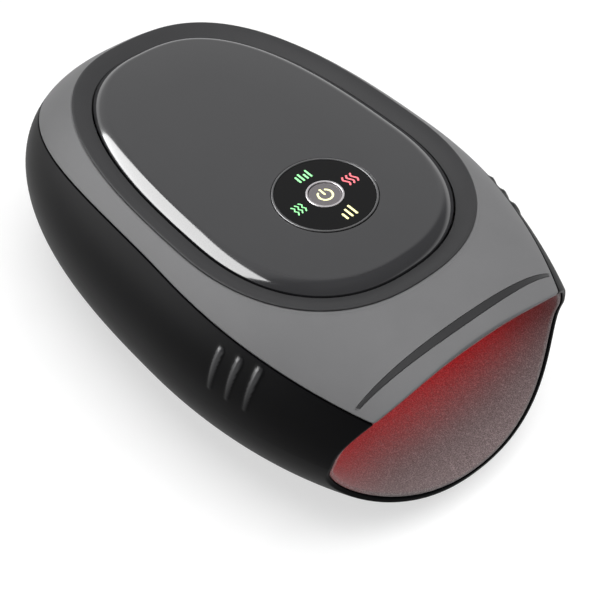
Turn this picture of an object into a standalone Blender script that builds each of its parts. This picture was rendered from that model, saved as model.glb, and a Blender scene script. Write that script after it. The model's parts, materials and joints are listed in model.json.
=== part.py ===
"""Hand massager with an air pump, in metres. The mouth faces -Y, +Z is up and the feet stand on Z = 0."""

import math

import bmesh
import bpy
from mathutils import Matrix, Vector

# Fits shared by all pieces
GAP = 0.0003
FLATNESS = 0.0000001
OVERRUN = 0.02
SHELL_WALL = 0.0024
FRAME_WALL = 0.002
BOARD_THICKNESS = 0.0016

# Hand tunnel: the room that everything else is laid round
BASE_Z = 0.002
TUNNEL_FLOOR_ROOM = 0.016
GRIP_HALF_WIDTH = 0.05
GRIP_HALF_HEIGHT = 0.025
GRIP_Z = BASE_Z + TUNNEL_FLOOR_ROOM + GRIP_HALF_HEIGHT
GRIP_POWER = 2.2
GRIP_FRONT_Y = -0.062
GRIP_LENGTH = 0.11
GRIP_REAR_Y = GRIP_FRONT_Y + GRIP_LENGTH
GRIP_TAIL = 0.025
GRIP_SIDES = 32
LINING_WALL = 0.0016
LINING_SETBACK = 0.0008

# Frame round the hand tunnel
FRAME_CLEARANCE = 0.0076
FRAME_SETBACK = 0.004
FRAME_FRONT_Y = GRIP_FRONT_Y + FRAME_SETBACK
FRAME_REAR_Y = GRIP_REAR_Y
FRAME_HALF_WIDTH = GRIP_HALF_WIDTH + FRAME_CLEARANCE + FRAME_WALL
FRAME_SIDES = 32

# Air bags and heating pad, as layers round the hand tunnel
HEAT_PAD_THICKNESS = 0.0008
BAG_THICKNESS = 0.0058
BAG_FRONT_INSET = 0.006
BAG_REAR_INSET = 0.004
BAG_FRONT_Y = FRAME_FRONT_Y + BAG_FRONT_INSET
BAG_REAR_Y = FRAME_REAR_Y - BAG_REAR_INSET
BAG_END_TAPER = 0.004
BAG_END_THICKNESS_SHARE = 0.55
BAG_SIDES = 5
HEAT_SIDES = 4
HEAT_INSET_Y = 0.005

# Battery cells on the frame's shoulders, in cradles
CELL_RADIUS = 0.0092
CELL_LENGTH = 0.065
CELL_INSET = 0.0076
CELL_LIFT = 0.0063
CELL_X = FRAME_HALF_WIDTH - CELL_INSET
CELL_Z = GRIP_Z + GRIP_HALF_HEIGHT + CELL_LIFT
CELL_SIDES = 24
CELL_TIP_RADIUS = 0.003
CELL_TIP_LENGTH = 0.0012
CRADLE_THICKNESS = 0.002
CRADLE_SPREAD = 0.02
CRADLE_INNER_REACH = 0.012
CRADLE_OUTER_REACH = 0.0095
CRADLE_DEPTH = 0.0163
CRADLE_LOWERING = 0.0023
CRADLE_IN_X = CELL_X - CRADLE_INNER_REACH
CRADLE_OUT_X = CELL_X + CRADLE_OUTER_REACH
CRADLE_BOTTOM_Z = CELL_Z - CRADLE_DEPTH
CRADLE_TOP_Z = CELL_Z - CRADLE_LOWERING

# Main board over the frame, between the cells
BOARD_SIDE_ROOM = 0.011
STANDOFF_HEIGHT = 0.001
BOARD_REAR_INSET = 0.003
MAIN_BOARD_LENGTH = 0.05
MAIN_BOARD_HALF_WIDTH = CRADLE_IN_X - BOARD_SIDE_ROOM
MAIN_BOARD_REAR_Y = FRAME_REAR_Y - BOARD_REAR_INSET
MAIN_BOARD_FRONT_Y = MAIN_BOARD_REAR_Y - MAIN_BOARD_LENGTH
MAIN_BOARD_Z = GRIP_Z + GRIP_HALF_HEIGHT + FRAME_CLEARANCE + FRAME_WALL + STANDOFF_HEIGHT
MAIN_BOARD_HOLE_INSET = 0.0035
STANDOFF_RADIUS = 0.0025
CHIP_HEIGHT = 0.0012

# Pump on its tray behind the hand tunnel
PUMP_ROOM = 0.015
PUMP_RISE = 0.002
PUMP_Y = GRIP_REAR_Y + GRIP_TAIL + PUMP_ROOM
PUMP_Z = GRIP_Z + PUMP_RISE
PUMP_MOTOR_RADIUS = 0.012
PUMP_MOTOR_LENGTH = 0.03
PUMP_HEAD_RADIUS = 0.013
PUMP_HEAD_LENGTH = 0.024
PUMP_HEAD_WALL = 0.002
PUMP_JOINT_X = 0.003
CRANK_RADIUS = 0.0065
CRANK_THICKNESS = 0.004
CRANK_THROW = 0.0016
CRANK_STANDOFF = 0.003
PUMP_SHAFT_RADIUS = 0.001
PUMP_SHAFT_SEAT = 0.006
TRAY_DROP = 0.0235
TRAY_Z = PUMP_Z - TRAY_DROP
TRAY_THICKNESS = 0.002
TRAY_HALF_WIDTH = 0.028
TRAY_FRONT_REACH = 0.011
TRAY_LENGTH = 0.01
TRAY_RIB_REACH = 0.012
TRAY_FRONT_Y = PUMP_Y - TRAY_FRONT_REACH
TRAY_REAR_Y = TRAY_FRONT_Y + TRAY_LENGTH
TRAY_RIB_REAR_Y = PUMP_Y + TRAY_RIB_REACH
TRAY_RIB_X = 0.0185
TRAY_RIB_THICKNESS = 0.002
TRAY_POST_INSET = 0.0035
TRAY_POST_BACK = 0.004
TRAY_POST_X = TRAY_HALF_WIDTH - TRAY_POST_INSET
TRAY_POST_Y = TRAY_FRONT_Y + TRAY_POST_BACK
TRAY_POST_RADIUS = 0.0032

# Body outline: level ovals about the widest line, with room for all of the above
SIDE_ROOM = 0.0161
NOSE_LENGTH = 0.0892
TAIL_ROOM = 0.032
TOP_ROOM = 0.0092
WIDEST_Y = -0.0169
WIDEST_RISE = 0.0076
WIDEST_Z = GRIP_Z + WIDEST_RISE
SEAT_Z = MAIN_BOARD_Z + BOARD_THICKNESS + TOP_ROOM
HALF_WIDTH = FRAME_HALF_WIDTH + SIDE_ROOM
FRONT_REACH = WIDEST_Y - GRIP_FRONT_Y + NOSE_LENGTH
REAR_REACH = PUMP_Y + TAIL_ROOM - WIDEST_Y
SIDE_CROWN = 0.0158
NOSE_CROWN = 0.0124
TAIL_CROWN = 0.0286
KEEL_CROWN = 0.0059
SIDE_RISE = SEAT_Z - WIDEST_Z + SIDE_CROWN
NOSE_RISE = SEAT_Z - WIDEST_Z + NOSE_CROWN
TAIL_RISE = SEAT_Z - WIDEST_Z + TAIL_CROWN
KEEL_DROP = WIDEST_Z - BASE_Z + KEEL_CROWN
SIDE_POWER = 2.25
NOSE_POWER = 1.525
TAIL_POWER = 1.93
KEEL_POWER = 2.043
FRONT_POWER = 2.01
TOP_FRONT_POWER = 2.34
REAR_POWER = 2.6
LOWER_LEVEL_SHARES = (0.0, 0.03, 0.08, 0.15, 0.24, 0.36, 0.52, 0.74)
UPPER_LEVEL_SHARES = (0.0, 0.22, 0.4, 0.55, 0.67, 0.77, 0.86, 0.94, 1.0)
BODY_SIDES = 60
INNER_SIDES = 36

# Parting line between the lower shell and the cover: an arch along Y
PARTING_DROP = 0.006
PARTING_TOP_Z = SEAT_Z - PARTING_DROP
PARTING_PEAK_Y = 0.003
PARTING_SAG = 0.0118
PARTING_SAG_REACH = 0.103
PARTING_STEPS = 24

# Mouth: a rounded tunnel along Y through the front of the body
MOUTH_FLARE = 0.0076
MOUTH_RISE = 0.004
MOUTH_ROOF_FLARE = 0.0069
MOUTH_FLOOR_FLARE = 0.0059
NECK_LENGTH = 0.03
MOUTH_HALF_WIDTH = GRIP_HALF_WIDTH + MOUTH_FLARE
MOUTH_Z = GRIP_Z + MOUTH_RISE
MOUTH_ROOF = GRIP_HALF_HEIGHT + MOUTH_ROOF_FLARE
MOUTH_FLOOR = GRIP_HALF_HEIGHT + MOUTH_FLOOR_FLARE
RIM_WALL = 0.0017
RIM_REACH_SHARE = 0.5
MOUTH_ROOF_POWER = 2.25
MOUTH_FLOOR_POWER = 1.94
LIP_WALL = 0.0024
LIP_REAR_Y = GRIP_FRONT_Y - NECK_LENGTH
MOUTH_SIDES = 48

# Bezel ring on the cover's flat seat
SEAT_THICKNESS = 0.0022
SEAT_WIDTH = 0.004
RING_INSET = 0.0005
RING_CREST = 0.0012
RING_CREST_ROUND = 0.0009
RING_WIDTH = 0.0073
RING_DISH_DROP = 0.0027
RING_DEPTH = 0.0048
RING_SIDES = 60

# Raised pad inside the ring
PAD_RING_GAP = 0.0006
PAD_STAND = 0.0026
PAD_SINK = 0.0046
PAD_INSET = RING_INSET + RING_WIDTH + PAD_RING_GAP
PAD_TOP_Z = SEAT_Z + PAD_STAND
PAD_FOOT_Z = SEAT_Z - PAD_SINK
PAD_SHOULDER = 0.0058
PAD_CROWN_REACH = 0.0216
PAD_CROWN_DROP = 0.0005
PAD_WALL = 0.0018
PAD_TOP_THICKNESS = 0.0024

# Round panel with its button
PANEL_FORWARD = 0.0141
PANEL_Y = WIDEST_Y - PANEL_FORWARD
PANEL_RADIUS = 0.01945
TRIM_WIDTH = 0.00075
PANEL_RECESS = 0.0013
PANEL_LEDGE = 0.002
TRIM_STAND = 0.0003
LENS_STAND = 0.0001
BUTTON_RADIUS = 0.00615
BUTTON_RING_WALL = 0.0006
BUTTON_TRAVEL = 0.0006
BUTTON_FLANGE = 0.0023
BUTTON_FLANGE_THICKNESS = 0.0009
BUTTON_DISH = 0.0003
PANEL_SIDES = 40

# Accent strip in the front of the cover
STRIP_SETBACK = 0.0512
STRIP_REAR_Y = WIDEST_Y - FRONT_REACH + STRIP_SETBACK
STRIP_BOW = 0.0019
STRIP_TIP_WIDTH = 0.0011
STRIP_HALF_LENGTH = 0.0478
STRIP_DEPTH = 0.0009
STRIP_STEPS = 16

# Raised ribs on the sides
RIB_RADIUS = 0.0017
RIB_STAND = 0.0008
RIB_PITCH = 0.0077
RIB_FORWARD = 0.0438
RIB_LIFT = 0.0099
RIB_LENGTH = 0.0147
RIB_MIDDLE_Y = WIDEST_Y - RIB_FORWARD
RIB_BOTTOM_Z = WIDEST_Z + RIB_LIFT
RIB_TOP_Z = RIB_BOTTOM_Z + RIB_LENGTH
RIB_SINK = 0.0012
RIB_COUNT = 3

# Feet and base screws
FOOT_RADIUS = 0.006
FOOT_ROUND = 0.0006
FOOT_SOCKET = 0.0012
FOOT_X = 0.02
FOOT_FORWARD = 0.0391
FOOT_BACK = 0.0429
FOOT_FRONT_Y = WIDEST_Y - FOOT_FORWARD
FOOT_REAR_Y = WIDEST_Y + FOOT_BACK
BOSS_RADIUS = 0.0036
BOSS_X = 0.027
BOSS_FORWARD = 0.0191
BOSS_BACK = 0.0229
BOSS_RISE = 0.0008
BOSS_FRONT_Y = WIDEST_Y - BOSS_FORWARD
BOSS_REAR_Y = WIDEST_Y + BOSS_BACK
BOSS_TOP_Z = GRIP_Z - GRIP_HALF_HEIGHT - FRAME_CLEARANCE - FRAME_WALL + BOSS_RISE
LUG_HEIGHT = 0.004
LUG_RADIUS = 0.0036
HEAD_RADIUS = 0.0024
HEAD_HEIGHT = 0.0014
SHANK_RADIUS = 0.0012
BASE_SCREW_SINK = 0.0006
SCREW_BITE = 0.0024

# Cover posts and their screws, on the frame's shoulders
POST_INSET = 0.0051
POST_SETBACK = 0.014
POST_REAR_INSET = 0.008
POST_DROP = 0.0045
POST_X = FRAME_HALF_WIDTH - POST_INSET
POST_FRONT_Y = FRAME_FRONT_Y + POST_SETBACK
POST_REAR_Y = FRAME_REAR_Y - POST_REAR_INSET
POST_RADIUS = 0.0031
POST_FOOT_Z = GRIP_Z + GRIP_HALF_HEIGHT - POST_DROP
COVER_LUG_RADIUS = 0.0046
COVER_LUG_HEIGHT = 0.012
COVER_LUG_FLOOR = 0.004
COVER_SCREW_BITE = 0.007

# Panel board under the pad
PANEL_BOARD_HALF = 0.0225
PANEL_BOARD_DROP = 0.0075
PANEL_BOARD_TOP_Z = PAD_TOP_Z - PANEL_BOARD_DROP
PANEL_POST_RADIUS = 0.0022
PANEL_POST_INSET = 0.0027
PANEL_POST_REACH = PANEL_BOARD_HALF - PANEL_POST_INSET
SWITCH_HALF = 0.003
SWITCH_HEIGHT = 0.0032
SWITCH_BORE_DEPTH = 0.0021
PLUNGER_RADIUS = 0.0017

# Vibration motor on the left of the frame
MOTOR_STANDOFF = 0.0064
MOTOR_RISE = 0.003
MOTOR_X = -FRAME_HALF_WIDTH - MOTOR_STANDOFF
MOTOR_Z = GRIP_Z + MOTOR_RISE
MOTOR_RADIUS = 0.005
MOTOR_SETBACK = 0.046
MOTOR_FRONT_Y = FRAME_FRONT_Y + MOTOR_SETBACK
MOTOR_LENGTH = 0.02
MOTOR_CLIP_DEPTH = 0.0103
MOTOR_CLIP_LIP = 0.0008
MOTOR_CLIP_OUT_X = MOTOR_X - MOTOR_CLIP_LIP
MOTOR_CLIP_IN_X = MOTOR_CLIP_OUT_X + MOTOR_CLIP_DEPTH
MOTOR_CLIP_HALF_HEIGHT = 0.0068
MOTOR_CLIP_SPREAD = 0.006
WEIGHT_RADIUS = 0.0042
WEIGHT_LENGTH = 0.006
WEIGHT_STANDOFF = 0.0012
MOTOR_SHAFT_RADIUS = 0.0008
MOTOR_SHAFT_SEAT = 0.004

# Release valve on the right of the frame
VALVE_SETBACK = 0.034
VALVE_Y = FRAME_REAR_Y - VALVE_SETBACK
VALVE_LENGTH = 0.02
VALVE_SIDE = 0.0085
VALVE_LIFT = 0.001
VALVE_PORT_LIFT = 0.012
VALVE_LOW_Z = GRIP_Z + VALVE_LIFT
VALVE_PORT_Z = VALVE_LOW_Z + VALVE_PORT_LIFT
VALVE_BORE_DEPTH = 0.013
VALVE_PLUNGER_RADIUS = 0.0022
VALVE_PLUNGER_DEPTH = 0.011
VALVE_HEAD_RADIUS = 0.0036
VALVE_HEAD_THICKNESS = 0.0015
VALVE_SPRING_LENGTH = 0.0055
VALVE_SPRING_RADIUS = 0.003
VALVE_WIRE_RADIUS = 0.00035
VALVE_SPRING_TURNS = 5

# Charging socket in the rear wall
SOCKET_RISE = 0.0085
SOCKET_Z = TRAY_Z + SOCKET_RISE
SOCKET_HALF_WIDTH = 0.0045
SOCKET_HEIGHT = 0.0032
SOCKET_WALL = 0.00035
SOCKET_SETBACK = 0.0102
SOCKET_LENGTH = 0.0113
SOCKET_REAR_Y = WIDEST_Y + REAR_REACH - SOCKET_SETBACK
SOCKET_FRONT_Y = SOCKET_REAR_Y - SOCKET_LENGTH
SOCKET_POWER = 5.0
TONGUE_HALF_WIDTH = 0.0033
TONGUE_THICKNESS = 0.0008
TONGUE_SETBACK = 0.0014
CHARGE_BOARD_HALF_WIDTH = 0.009
CHARGE_BOARD_LENGTH = 0.008
CHARGE_BOARD_LAP = 0.002
CHARGE_BOARD_REAR_Y = SOCKET_FRONT_Y + CHARGE_BOARD_LAP
CHARGE_BOARD_FRONT_Y = CHARGE_BOARD_REAR_Y - CHARGE_BOARD_LENGTH
SHELF_THICKNESS = 0.0026
SHELF_HALF_WIDTH = 0.0075

# Hoses: routes chosen by hand between the pump, the bags and the valve
HOSE_RADIUS = 0.0021
HOSE_X = 0.012
HOSE_STEPS_PER_SPAN = 4

SMALL_SIDES = 10

PARTS = "hand_massager"
CUTTERS = "cutters"


def clear_scene():
    """Remove what the startup file holds."""
    for obj in list(bpy.data.objects):
        bpy.data.objects.remove(obj, do_unlink=True)


def collection(name):
    """Return the named collection, made and linked when it is new."""
    found = bpy.data.collections.get(name)
    if found is None:
        found = bpy.data.collections.new(name)
        bpy.context.scene.collection.children.link(found)
    return found


def material(name, colour, roughness, metallic=0.0):
    """Return a Principled material with a colour, a roughness and a metallic value."""
    made = bpy.data.materials.get(name)
    if made is not None:
        return made
    made = bpy.data.materials.new(name)
    made.use_nodes = True
    shader = made.node_tree.nodes["Principled BSDF"]
    shader.inputs["Base Color"].default_value = (*colour, 1.0)
    shader.inputs["Roughness"].default_value = roughness
    shader.inputs["Metallic"].default_value = metallic
    return made


def black_gloss():
    return material("black_gloss_plastic", (0.012, 0.012, 0.013), 0.28)


def grey_satin():
    return material("grey_satin_plastic", (0.16, 0.16, 0.165), 0.38)


def dark_grey():
    return material("dark_grey_plastic", (0.045, 0.045, 0.047), 0.42)


def pad_gloss():
    return material("pad_gloss_plastic", (0.085, 0.085, 0.088), 0.16)


def white_plastic():
    return material("white_plastic", (0.7, 0.7, 0.68), 0.5)


def steel():
    return material("steel", (0.55, 0.55, 0.56), 0.3, 1.0)


def board_green():
    return material("board_green", (0.02, 0.16, 0.06), 0.45)


def rubber():
    return material("rubber", (0.02, 0.02, 0.02), 0.85)


def bag_film():
    return material("bag_film", (0.3, 0.32, 0.35), 0.45)


def lining_fabric():
    return material("lining_fabric", (0.13, 0.1, 0.1), 0.9)


def finish_object(name, mesh_builder, where, look=None):
    """Turn a bmesh into a named object with outward faces, smooth where it is round."""
    bmesh.ops.recalc_face_normals(mesh_builder, faces=mesh_builder.faces)
    mesh = bpy.data.meshes.new(name)
    mesh_builder.to_mesh(mesh)
    mesh_builder.free()
    mesh.shade_smooth()
    mesh.set_sharp_from_angle(angle=math.radians(35))
    obj = bpy.data.objects.new(name, mesh)
    collection(where).objects.link(obj)
    if look is not None:
        mesh.materials.append(look)
    if where == CUTTERS:
        obj.hide_render = True
        obj.display_type = "WIRE"
    return obj


def loft_object(name, loops, where, look=None, closed=False):
    """Bridge equal loops of points into a solid: capped at both ends, or closed on itself."""
    builder = bmesh.new()
    rings = [[builder.verts.new(point) for point in loop] for loop in loops]
    pairs = list(zip(rings, rings[1:]))
    if closed:
        pairs.append((rings[-1], rings[0]))
    for first, second in pairs:
        for index, corner in enumerate(first):
            after = (index + 1) % len(first)
            builder.faces.new((corner, first[after], second[after], second[index]))
    bmesh.ops.triangulate(builder, faces=[face for face in builder.faces if is_warped(face)])
    if not closed:
        builder.faces.new(rings[0])
        builder.faces.new(rings[-1])
    return finish_object(name, builder, where, look)


def is_warped(face):
    """Tell whether a face's corners leave its plane."""
    face.normal_update()
    middle = face.calc_center_median()
    return max(abs((corner.co - middle).dot(face.normal)) for corner in face.verts) > FLATNESS


def cylinder(name, radius, start, end, where, look=None, sides=SMALL_SIDES, end_radius=None):
    """A round bar between two points, as a cone primitive with caps."""
    run = Vector(end) - Vector(start)
    builder = bmesh.new()
    turn = Vector((0, 0, 1)).rotation_difference(run.normalized()).to_matrix().to_4x4()
    place = Matrix.Translation((Vector(start) + Vector(end)) / 2) @ turn
    top = radius if end_radius is None else end_radius
    bmesh.ops.create_cone(
        builder, cap_ends=True, segments=sides, radius1=radius, radius2=top, depth=run.length, matrix=place
    )
    return finish_object(name, builder, where, look)


def box(name, low, high, where, look=None):
    """A block between two corners, as a cube primitive."""
    size = [b - a for a, b in zip(low, high)]
    middle = [(a + b) / 2 for a, b in zip(low, high)]
    builder = bmesh.new()
    place = Matrix.Translation(middle) @ Matrix.Diagonal((*size, 1.0))
    bmesh.ops.create_cube(builder, size=1.0, matrix=place)
    return finish_object(name, builder, where, look)


def capsule(name, start, end, radius, where):
    """A bar with round ends, as a sphere primitive that is pulled apart at its middle."""
    run = Vector(end) - Vector(start)
    builder = bmesh.new()
    bmesh.ops.create_uvsphere(builder, u_segments=SMALL_SIDES, v_segments=SMALL_SIDES // 2, radius=radius)
    for corner in builder.verts:
        corner.co.z += run.length / 2 * (1 if corner.co.z > 0 else -1)
    turn = Vector((0, 0, 1)).rotation_difference(run.normalized()).to_matrix().to_4x4()
    place = Matrix.Translation((Vector(start) + Vector(end)) / 2) @ turn
    bmesh.ops.transform(builder, matrix=place, verts=builder.verts)
    return finish_object(name, builder, where)


def turned(name, profile, place, look, where=PARTS, sides=SMALL_SIDES):
    """Turn a profile of (radius, height) points round Z with a Screw modifier, top to bottom."""
    mesh = bpy.data.meshes.new(name)
    mesh.from_pydata([(r, 0.0, z) for r, z in profile], [(i, i + 1) for i in range(len(profile) - 1)], [])
    mesh.materials.append(look)
    obj = bpy.data.objects.new(name, mesh)
    obj.matrix_world = place
    collection(where).objects.link(obj)
    turn = obj.modifiers.new("turn", "SCREW")
    turn.steps = sides
    turn.render_steps = sides
    turn.use_merge_vertices = True
    turn.merge_threshold = 0.00001
    turn.use_smooth_shade = False
    return obj


def boolean(obj, tool, operation):
    """Cut, join or clip an object by another one."""
    step = obj.modifiers.new(operation.lower(), "BOOLEAN")
    step.operation = operation
    step.object = tool
    return obj


def cut(obj, *tools):
    for tool in tools:
        boolean(obj, tool, "DIFFERENCE")


def join(obj, *tools):
    for tool in tools:
        boolean(obj, tool, "UNION")


def clip(obj, tool):
    boolean(obj, tool, "INTERSECT")


def oval(half_width, front, rear, front_power, rear_power, sides):
    """Points (x, y) of an oval with its own reach and squareness towards -Y and +Y."""
    points = []
    for step in range(sides):
        angle = math.tau * step / sides
        across = math.cos(angle)
        along = math.sin(angle)
        reach, power = (rear, rear_power) if along > 0 else (front, front_power)
        bulge = (abs(across) ** power + abs(along) ** power) ** (-1 / power)
        points.append((half_width * across * bulge, reach * along * bulge))
    return points


def swell(height, peak, power):
    """Share of the widest size that is left at a height, on a profile that closes at its peak."""
    return (1 - min(height / peak, 1.0) ** power) ** (1 / power)


def body_level(z, inset):
    """Half width, reach to the front and to the rear, and the front's squareness at a level."""
    half = HALF_WIDTH - inset
    front = FRONT_REACH - inset
    rear = REAR_REACH - inset
    squareness = FRONT_POWER
    if z > WIDEST_Z:
        lift = z - WIDEST_Z
        half *= swell(lift, SIDE_RISE - inset, SIDE_POWER)
        front *= swell(lift, NOSE_RISE - inset, NOSE_POWER)
        rear *= swell(lift, TAIL_RISE - inset, TAIL_POWER)
        climb = lift / (SEAT_Z - WIDEST_Z)
        squareness += (TOP_FRONT_POWER - FRONT_POWER) * climb**2
    else:
        share = swell(WIDEST_Z - z, KEEL_DROP - inset, KEEL_POWER)
        half *= share
        front *= share
        rear *= share
    return half, front, rear, squareness


def body_oval(z, inset, sides):
    """The body's outline at a level, drawn in from the surface by an inset."""
    half, front, rear, squareness = body_level(z, inset)
    flat = oval(half, front, rear, squareness, REAR_POWER, sides)
    return [(x, WIDEST_Y + y, z) for x, y in flat]


def nose_y(x, z):
    """Where the body's front surface lies at a place across and a height."""
    half, front, _, power = body_level(z, 0.0)
    return WIDEST_Y - front * swell(abs(x), half, power)


def side_x(y, z):
    """Half the body's width at a place along its front part and a height."""
    half, front, _, power = body_level(z, 0.0)
    return half * swell(WIDEST_Y - y, front, power)


def pebble(name, inset, low, high, where, look=None, sides=BODY_SIDES):
    """The whole body as one solid between two levels, with fewer levels where it has fewer sides."""
    skip = 1 if sides == BODY_SIDES else 2
    below = [low + (WIDEST_Z - low) * share for share in LOWER_LEVEL_SHARES[::skip]]
    above = [WIDEST_Z + (high - WIDEST_Z) * share for share in UPPER_LEVEL_SHARES[::skip]]
    return loft_object(name, [body_oval(z, inset, sides) for z in below + above], where, look)


def clip_pebble(name, inset, sides=INNER_SIDES):
    """A copy of the body that lies a little inside it, to end inner pieces in the wall."""
    return pebble(name, inset, BASE_Z + inset, SEAT_Z - inset, CUTTERS, sides=sides)


def seat_loop(inset, z, sides):
    """The flat seat's outline, drawn in by an inset, at any height."""
    half = HALF_WIDTH * swell(SEAT_Z - WIDEST_Z, SIDE_RISE, SIDE_POWER) - inset
    front = FRONT_REACH * swell(SEAT_Z - WIDEST_Z, NOSE_RISE, NOSE_POWER) - inset
    rear = REAR_REACH * swell(SEAT_Z - WIDEST_Z, TAIL_RISE, TAIL_POWER) - inset
    flat = oval(half, front, rear, TOP_FRONT_POWER, REAR_POWER, sides)
    return [(x, WIDEST_Y + y, z) for x, y in flat]


def mouth_loop(offset, y, sides=MOUTH_SIDES):
    """The mouth's outline at a depth, grown by an offset."""
    flat = oval(
        MOUTH_HALF_WIDTH + offset,
        MOUTH_FLOOR + offset,
        MOUTH_ROOF + offset,
        MOUTH_FLOOR_POWER,
        MOUTH_ROOF_POWER,
        sides,
    )
    return [(x, y, MOUTH_Z + z) for x, z in flat]


def mouth_bar(name, offset, front_y, rear_y):
    return loft_object(name, [mouth_loop(offset, front_y), mouth_loop(offset, rear_y)], CUTTERS)


def grip_loop(offset, y, sides, scale=1.0):
    """The hand tunnel's outline at a depth, grown by an offset."""
    half = (GRIP_HALF_WIDTH + offset) * scale
    tall = (GRIP_HALF_HEIGHT + offset) * scale
    return [(x, y, GRIP_Z + z) for x, z in oval(half, tall, tall, GRIP_POWER, GRIP_POWER, sides)]


def parting_z(y):
    return PARTING_TOP_Z - PARTING_SAG * ((y - PARTING_PEAK_Y) / PARTING_SAG_REACH) ** 2


def parting_block(name, upwards):
    """A block above the parting arch to cut the lower shell, or below it to cut the cover."""
    start = WIDEST_Y - FRONT_REACH - OVERRUN
    length = FRONT_REACH + REAR_REACH + OVERRUN * 2
    lift = 0.0 if upwards else GAP
    edge = SEAT_Z + OVERRUN if upwards else -OVERRUN
    ys = [start + length * step / PARTING_STEPS for step in range(PARTING_STEPS + 1)]
    arch = [(y, parting_z(y) + lift) for y in ys]
    outline = arch + [(ys[-1], edge), (ys[0], edge)]
    side = HALF_WIDTH + OVERRUN
    loops = [[(x, y, z) for y, z in outline] for x in (-side, side)]
    return loft_object(name, loops, CUTTERS)


def body_cavity():
    """The room inside both shells, with the mouth's lip left standing in it."""
    cavity = pebble(
        "cavity", SHELL_WALL, BASE_Z + SHELL_WALL, SEAT_Z - SEAT_THICKNESS, CUTTERS, sides=INNER_SIDES
    )
    front = WIDEST_Y - FRONT_REACH - OVERRUN
    cut(cavity, mouth_bar("lip_bar", LIP_WALL, front, LIP_REAR_Y))
    return cavity


def mouth_cutter():
    front = WIDEST_Y - FRONT_REACH - OVERRUN
    return mouth_bar("mouth_cutter", 0.0, front, LIP_REAR_Y + OVERRUN)


def rim_trim(name, setback):
    """A sleeve that ends the lip: its rear face follows the body's front one lip wall in."""
    front = WIDEST_Y - FRONT_REACH - OVERRUN
    rim = mouth_loop(RIM_WALL, 0.0)
    back = [nose_y(x, z) + setback for x, _, z in rim]
    loops = []
    for scale in (1 - RIM_REACH_SHARE, 1 + RIM_REACH_SHARE):
        ring = [(x * scale, y, MOUTH_Z + (z - MOUTH_Z) * scale) for (x, _, z), y in zip(rim, back)]
        far = [(x, front, z) for x, _, z in ring]
        loops += [far, ring] if not loops else [ring, far]
    return loft_object(name, loops, CUTTERS, closed=True)


def corners(x, front_y, rear_y):
    """Four places that are alike left and right, front and rear."""
    return [(side * x, y) for y in (front_y, rear_y) for side in (-1, 1)]


def upright(name, radius, x, y, low, high, where=CUTTERS, look=None, sides=SMALL_SIDES):
    return cylinder(name, radius, (x, y, low), (x, y, high), where, look, sides)


def rib_tool(index, side):
    """One raised side rib: a round-ended bar laid along the skirt, sinking at its lower end."""
    y = RIB_MIDDLE_Y + RIB_PITCH * (index - (RIB_COUNT - 1) / 2)
    ends = []
    for z, sink in ((RIB_TOP_Z, 0.0), (RIB_BOTTOM_Z, RIB_SINK)):
        ends.append((side * (side_x(y, z) - RIB_RADIUS + RIB_STAND - sink), y, z))
    return capsule(f"rib_{side}_{index}", ends[0], ends[1], RIB_RADIUS, CUTTERS)


def shell_bosses(wall_clip):
    """Screw bosses, tray posts and the socket shelf that rise from the lower shell."""
    tools = []
    for number, (x, y) in enumerate(corners(BOSS_X, BOSS_FRONT_Y, BOSS_REAR_Y)):
        foot_z = BASE_Z + SHELL_WALL / 2
        tools.append(upright(f"boss_{number}", BOSS_RADIUS, x, y, foot_z, BOSS_TOP_Z))
    for side in (-1, 1):
        x = side * TRAY_POST_X
        post = upright(f"tray_post_{side}", TRAY_POST_RADIUS, x, TRAY_POST_Y, BASE_Z, TRAY_Z - GAP)
        clip(post, wall_clip)
        tools.append(post)
    board_low = SOCKET_Z - SOCKET_HEIGHT / 2 - GAP - BOARD_THICKNESS
    shelf = box(
        "shelf",
        (-SHELF_HALF_WIDTH, CHARGE_BOARD_FRONT_Y, board_low - GAP - SHELF_THICKNESS),
        (SHELF_HALF_WIDTH, WIDEST_Y + REAR_REACH, board_low - GAP),
        CUTTERS,
    )
    clip(shelf, wall_clip)
    tools.append(shelf)
    return tools


def shell_holes():
    """Foot sockets, screw holes and the charging opening in the lower shell."""
    tools = []
    for number, (x, y) in enumerate(corners(FOOT_X, FOOT_FRONT_Y, FOOT_REAR_Y)):
        radius = FOOT_RADIUS + GAP
        top = BASE_Z + FOOT_SOCKET
        tools.append(upright(f"foot_socket_{number}", radius, x, y, BASE_Z - OVERRUN, top, sides=20))
    for number, (x, y) in enumerate(corners(BOSS_X, BOSS_FRONT_Y, BOSS_REAR_Y)):
        head = BASE_Z + BASE_SCREW_SINK + HEAD_HEIGHT + GAP
        tools.append(upright(f"head_hole_{number}", HEAD_RADIUS + GAP, x, y, BASE_Z - OVERRUN, head))
        top = BOSS_TOP_Z + OVERRUN / 4
        tools.append(upright(f"shank_hole_{number}", SHANK_RADIUS + GAP, x, y, BASE_Z, top))
    for side in (-1, 1):
        x = side * TRAY_POST_X
        low = TRAY_Z - SCREW_BITE
        tools.append(upright(f"tray_pilot_{side}", SHANK_RADIUS + GAP, x, TRAY_POST_Y, low, TRAY_Z))
    tools.append(socket_bar("socket_hole", GAP, SOCKET_FRONT_Y, SOCKET_REAR_Y + OVERRUN, CUTTERS))
    return tools


def socket_loop(offset, y, sides=24):
    half = SOCKET_HALF_WIDTH + offset
    tall = SOCKET_HEIGHT / 2 + offset
    return [(x, y, SOCKET_Z + z) for x, z in oval(half, tall, tall, SOCKET_POWER, SOCKET_POWER, sides)]


def socket_bar(name, offset, front_y, rear_y, where):
    return loft_object(name, [socket_loop(offset, front_y), socket_loop(offset, rear_y)], where)


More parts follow.
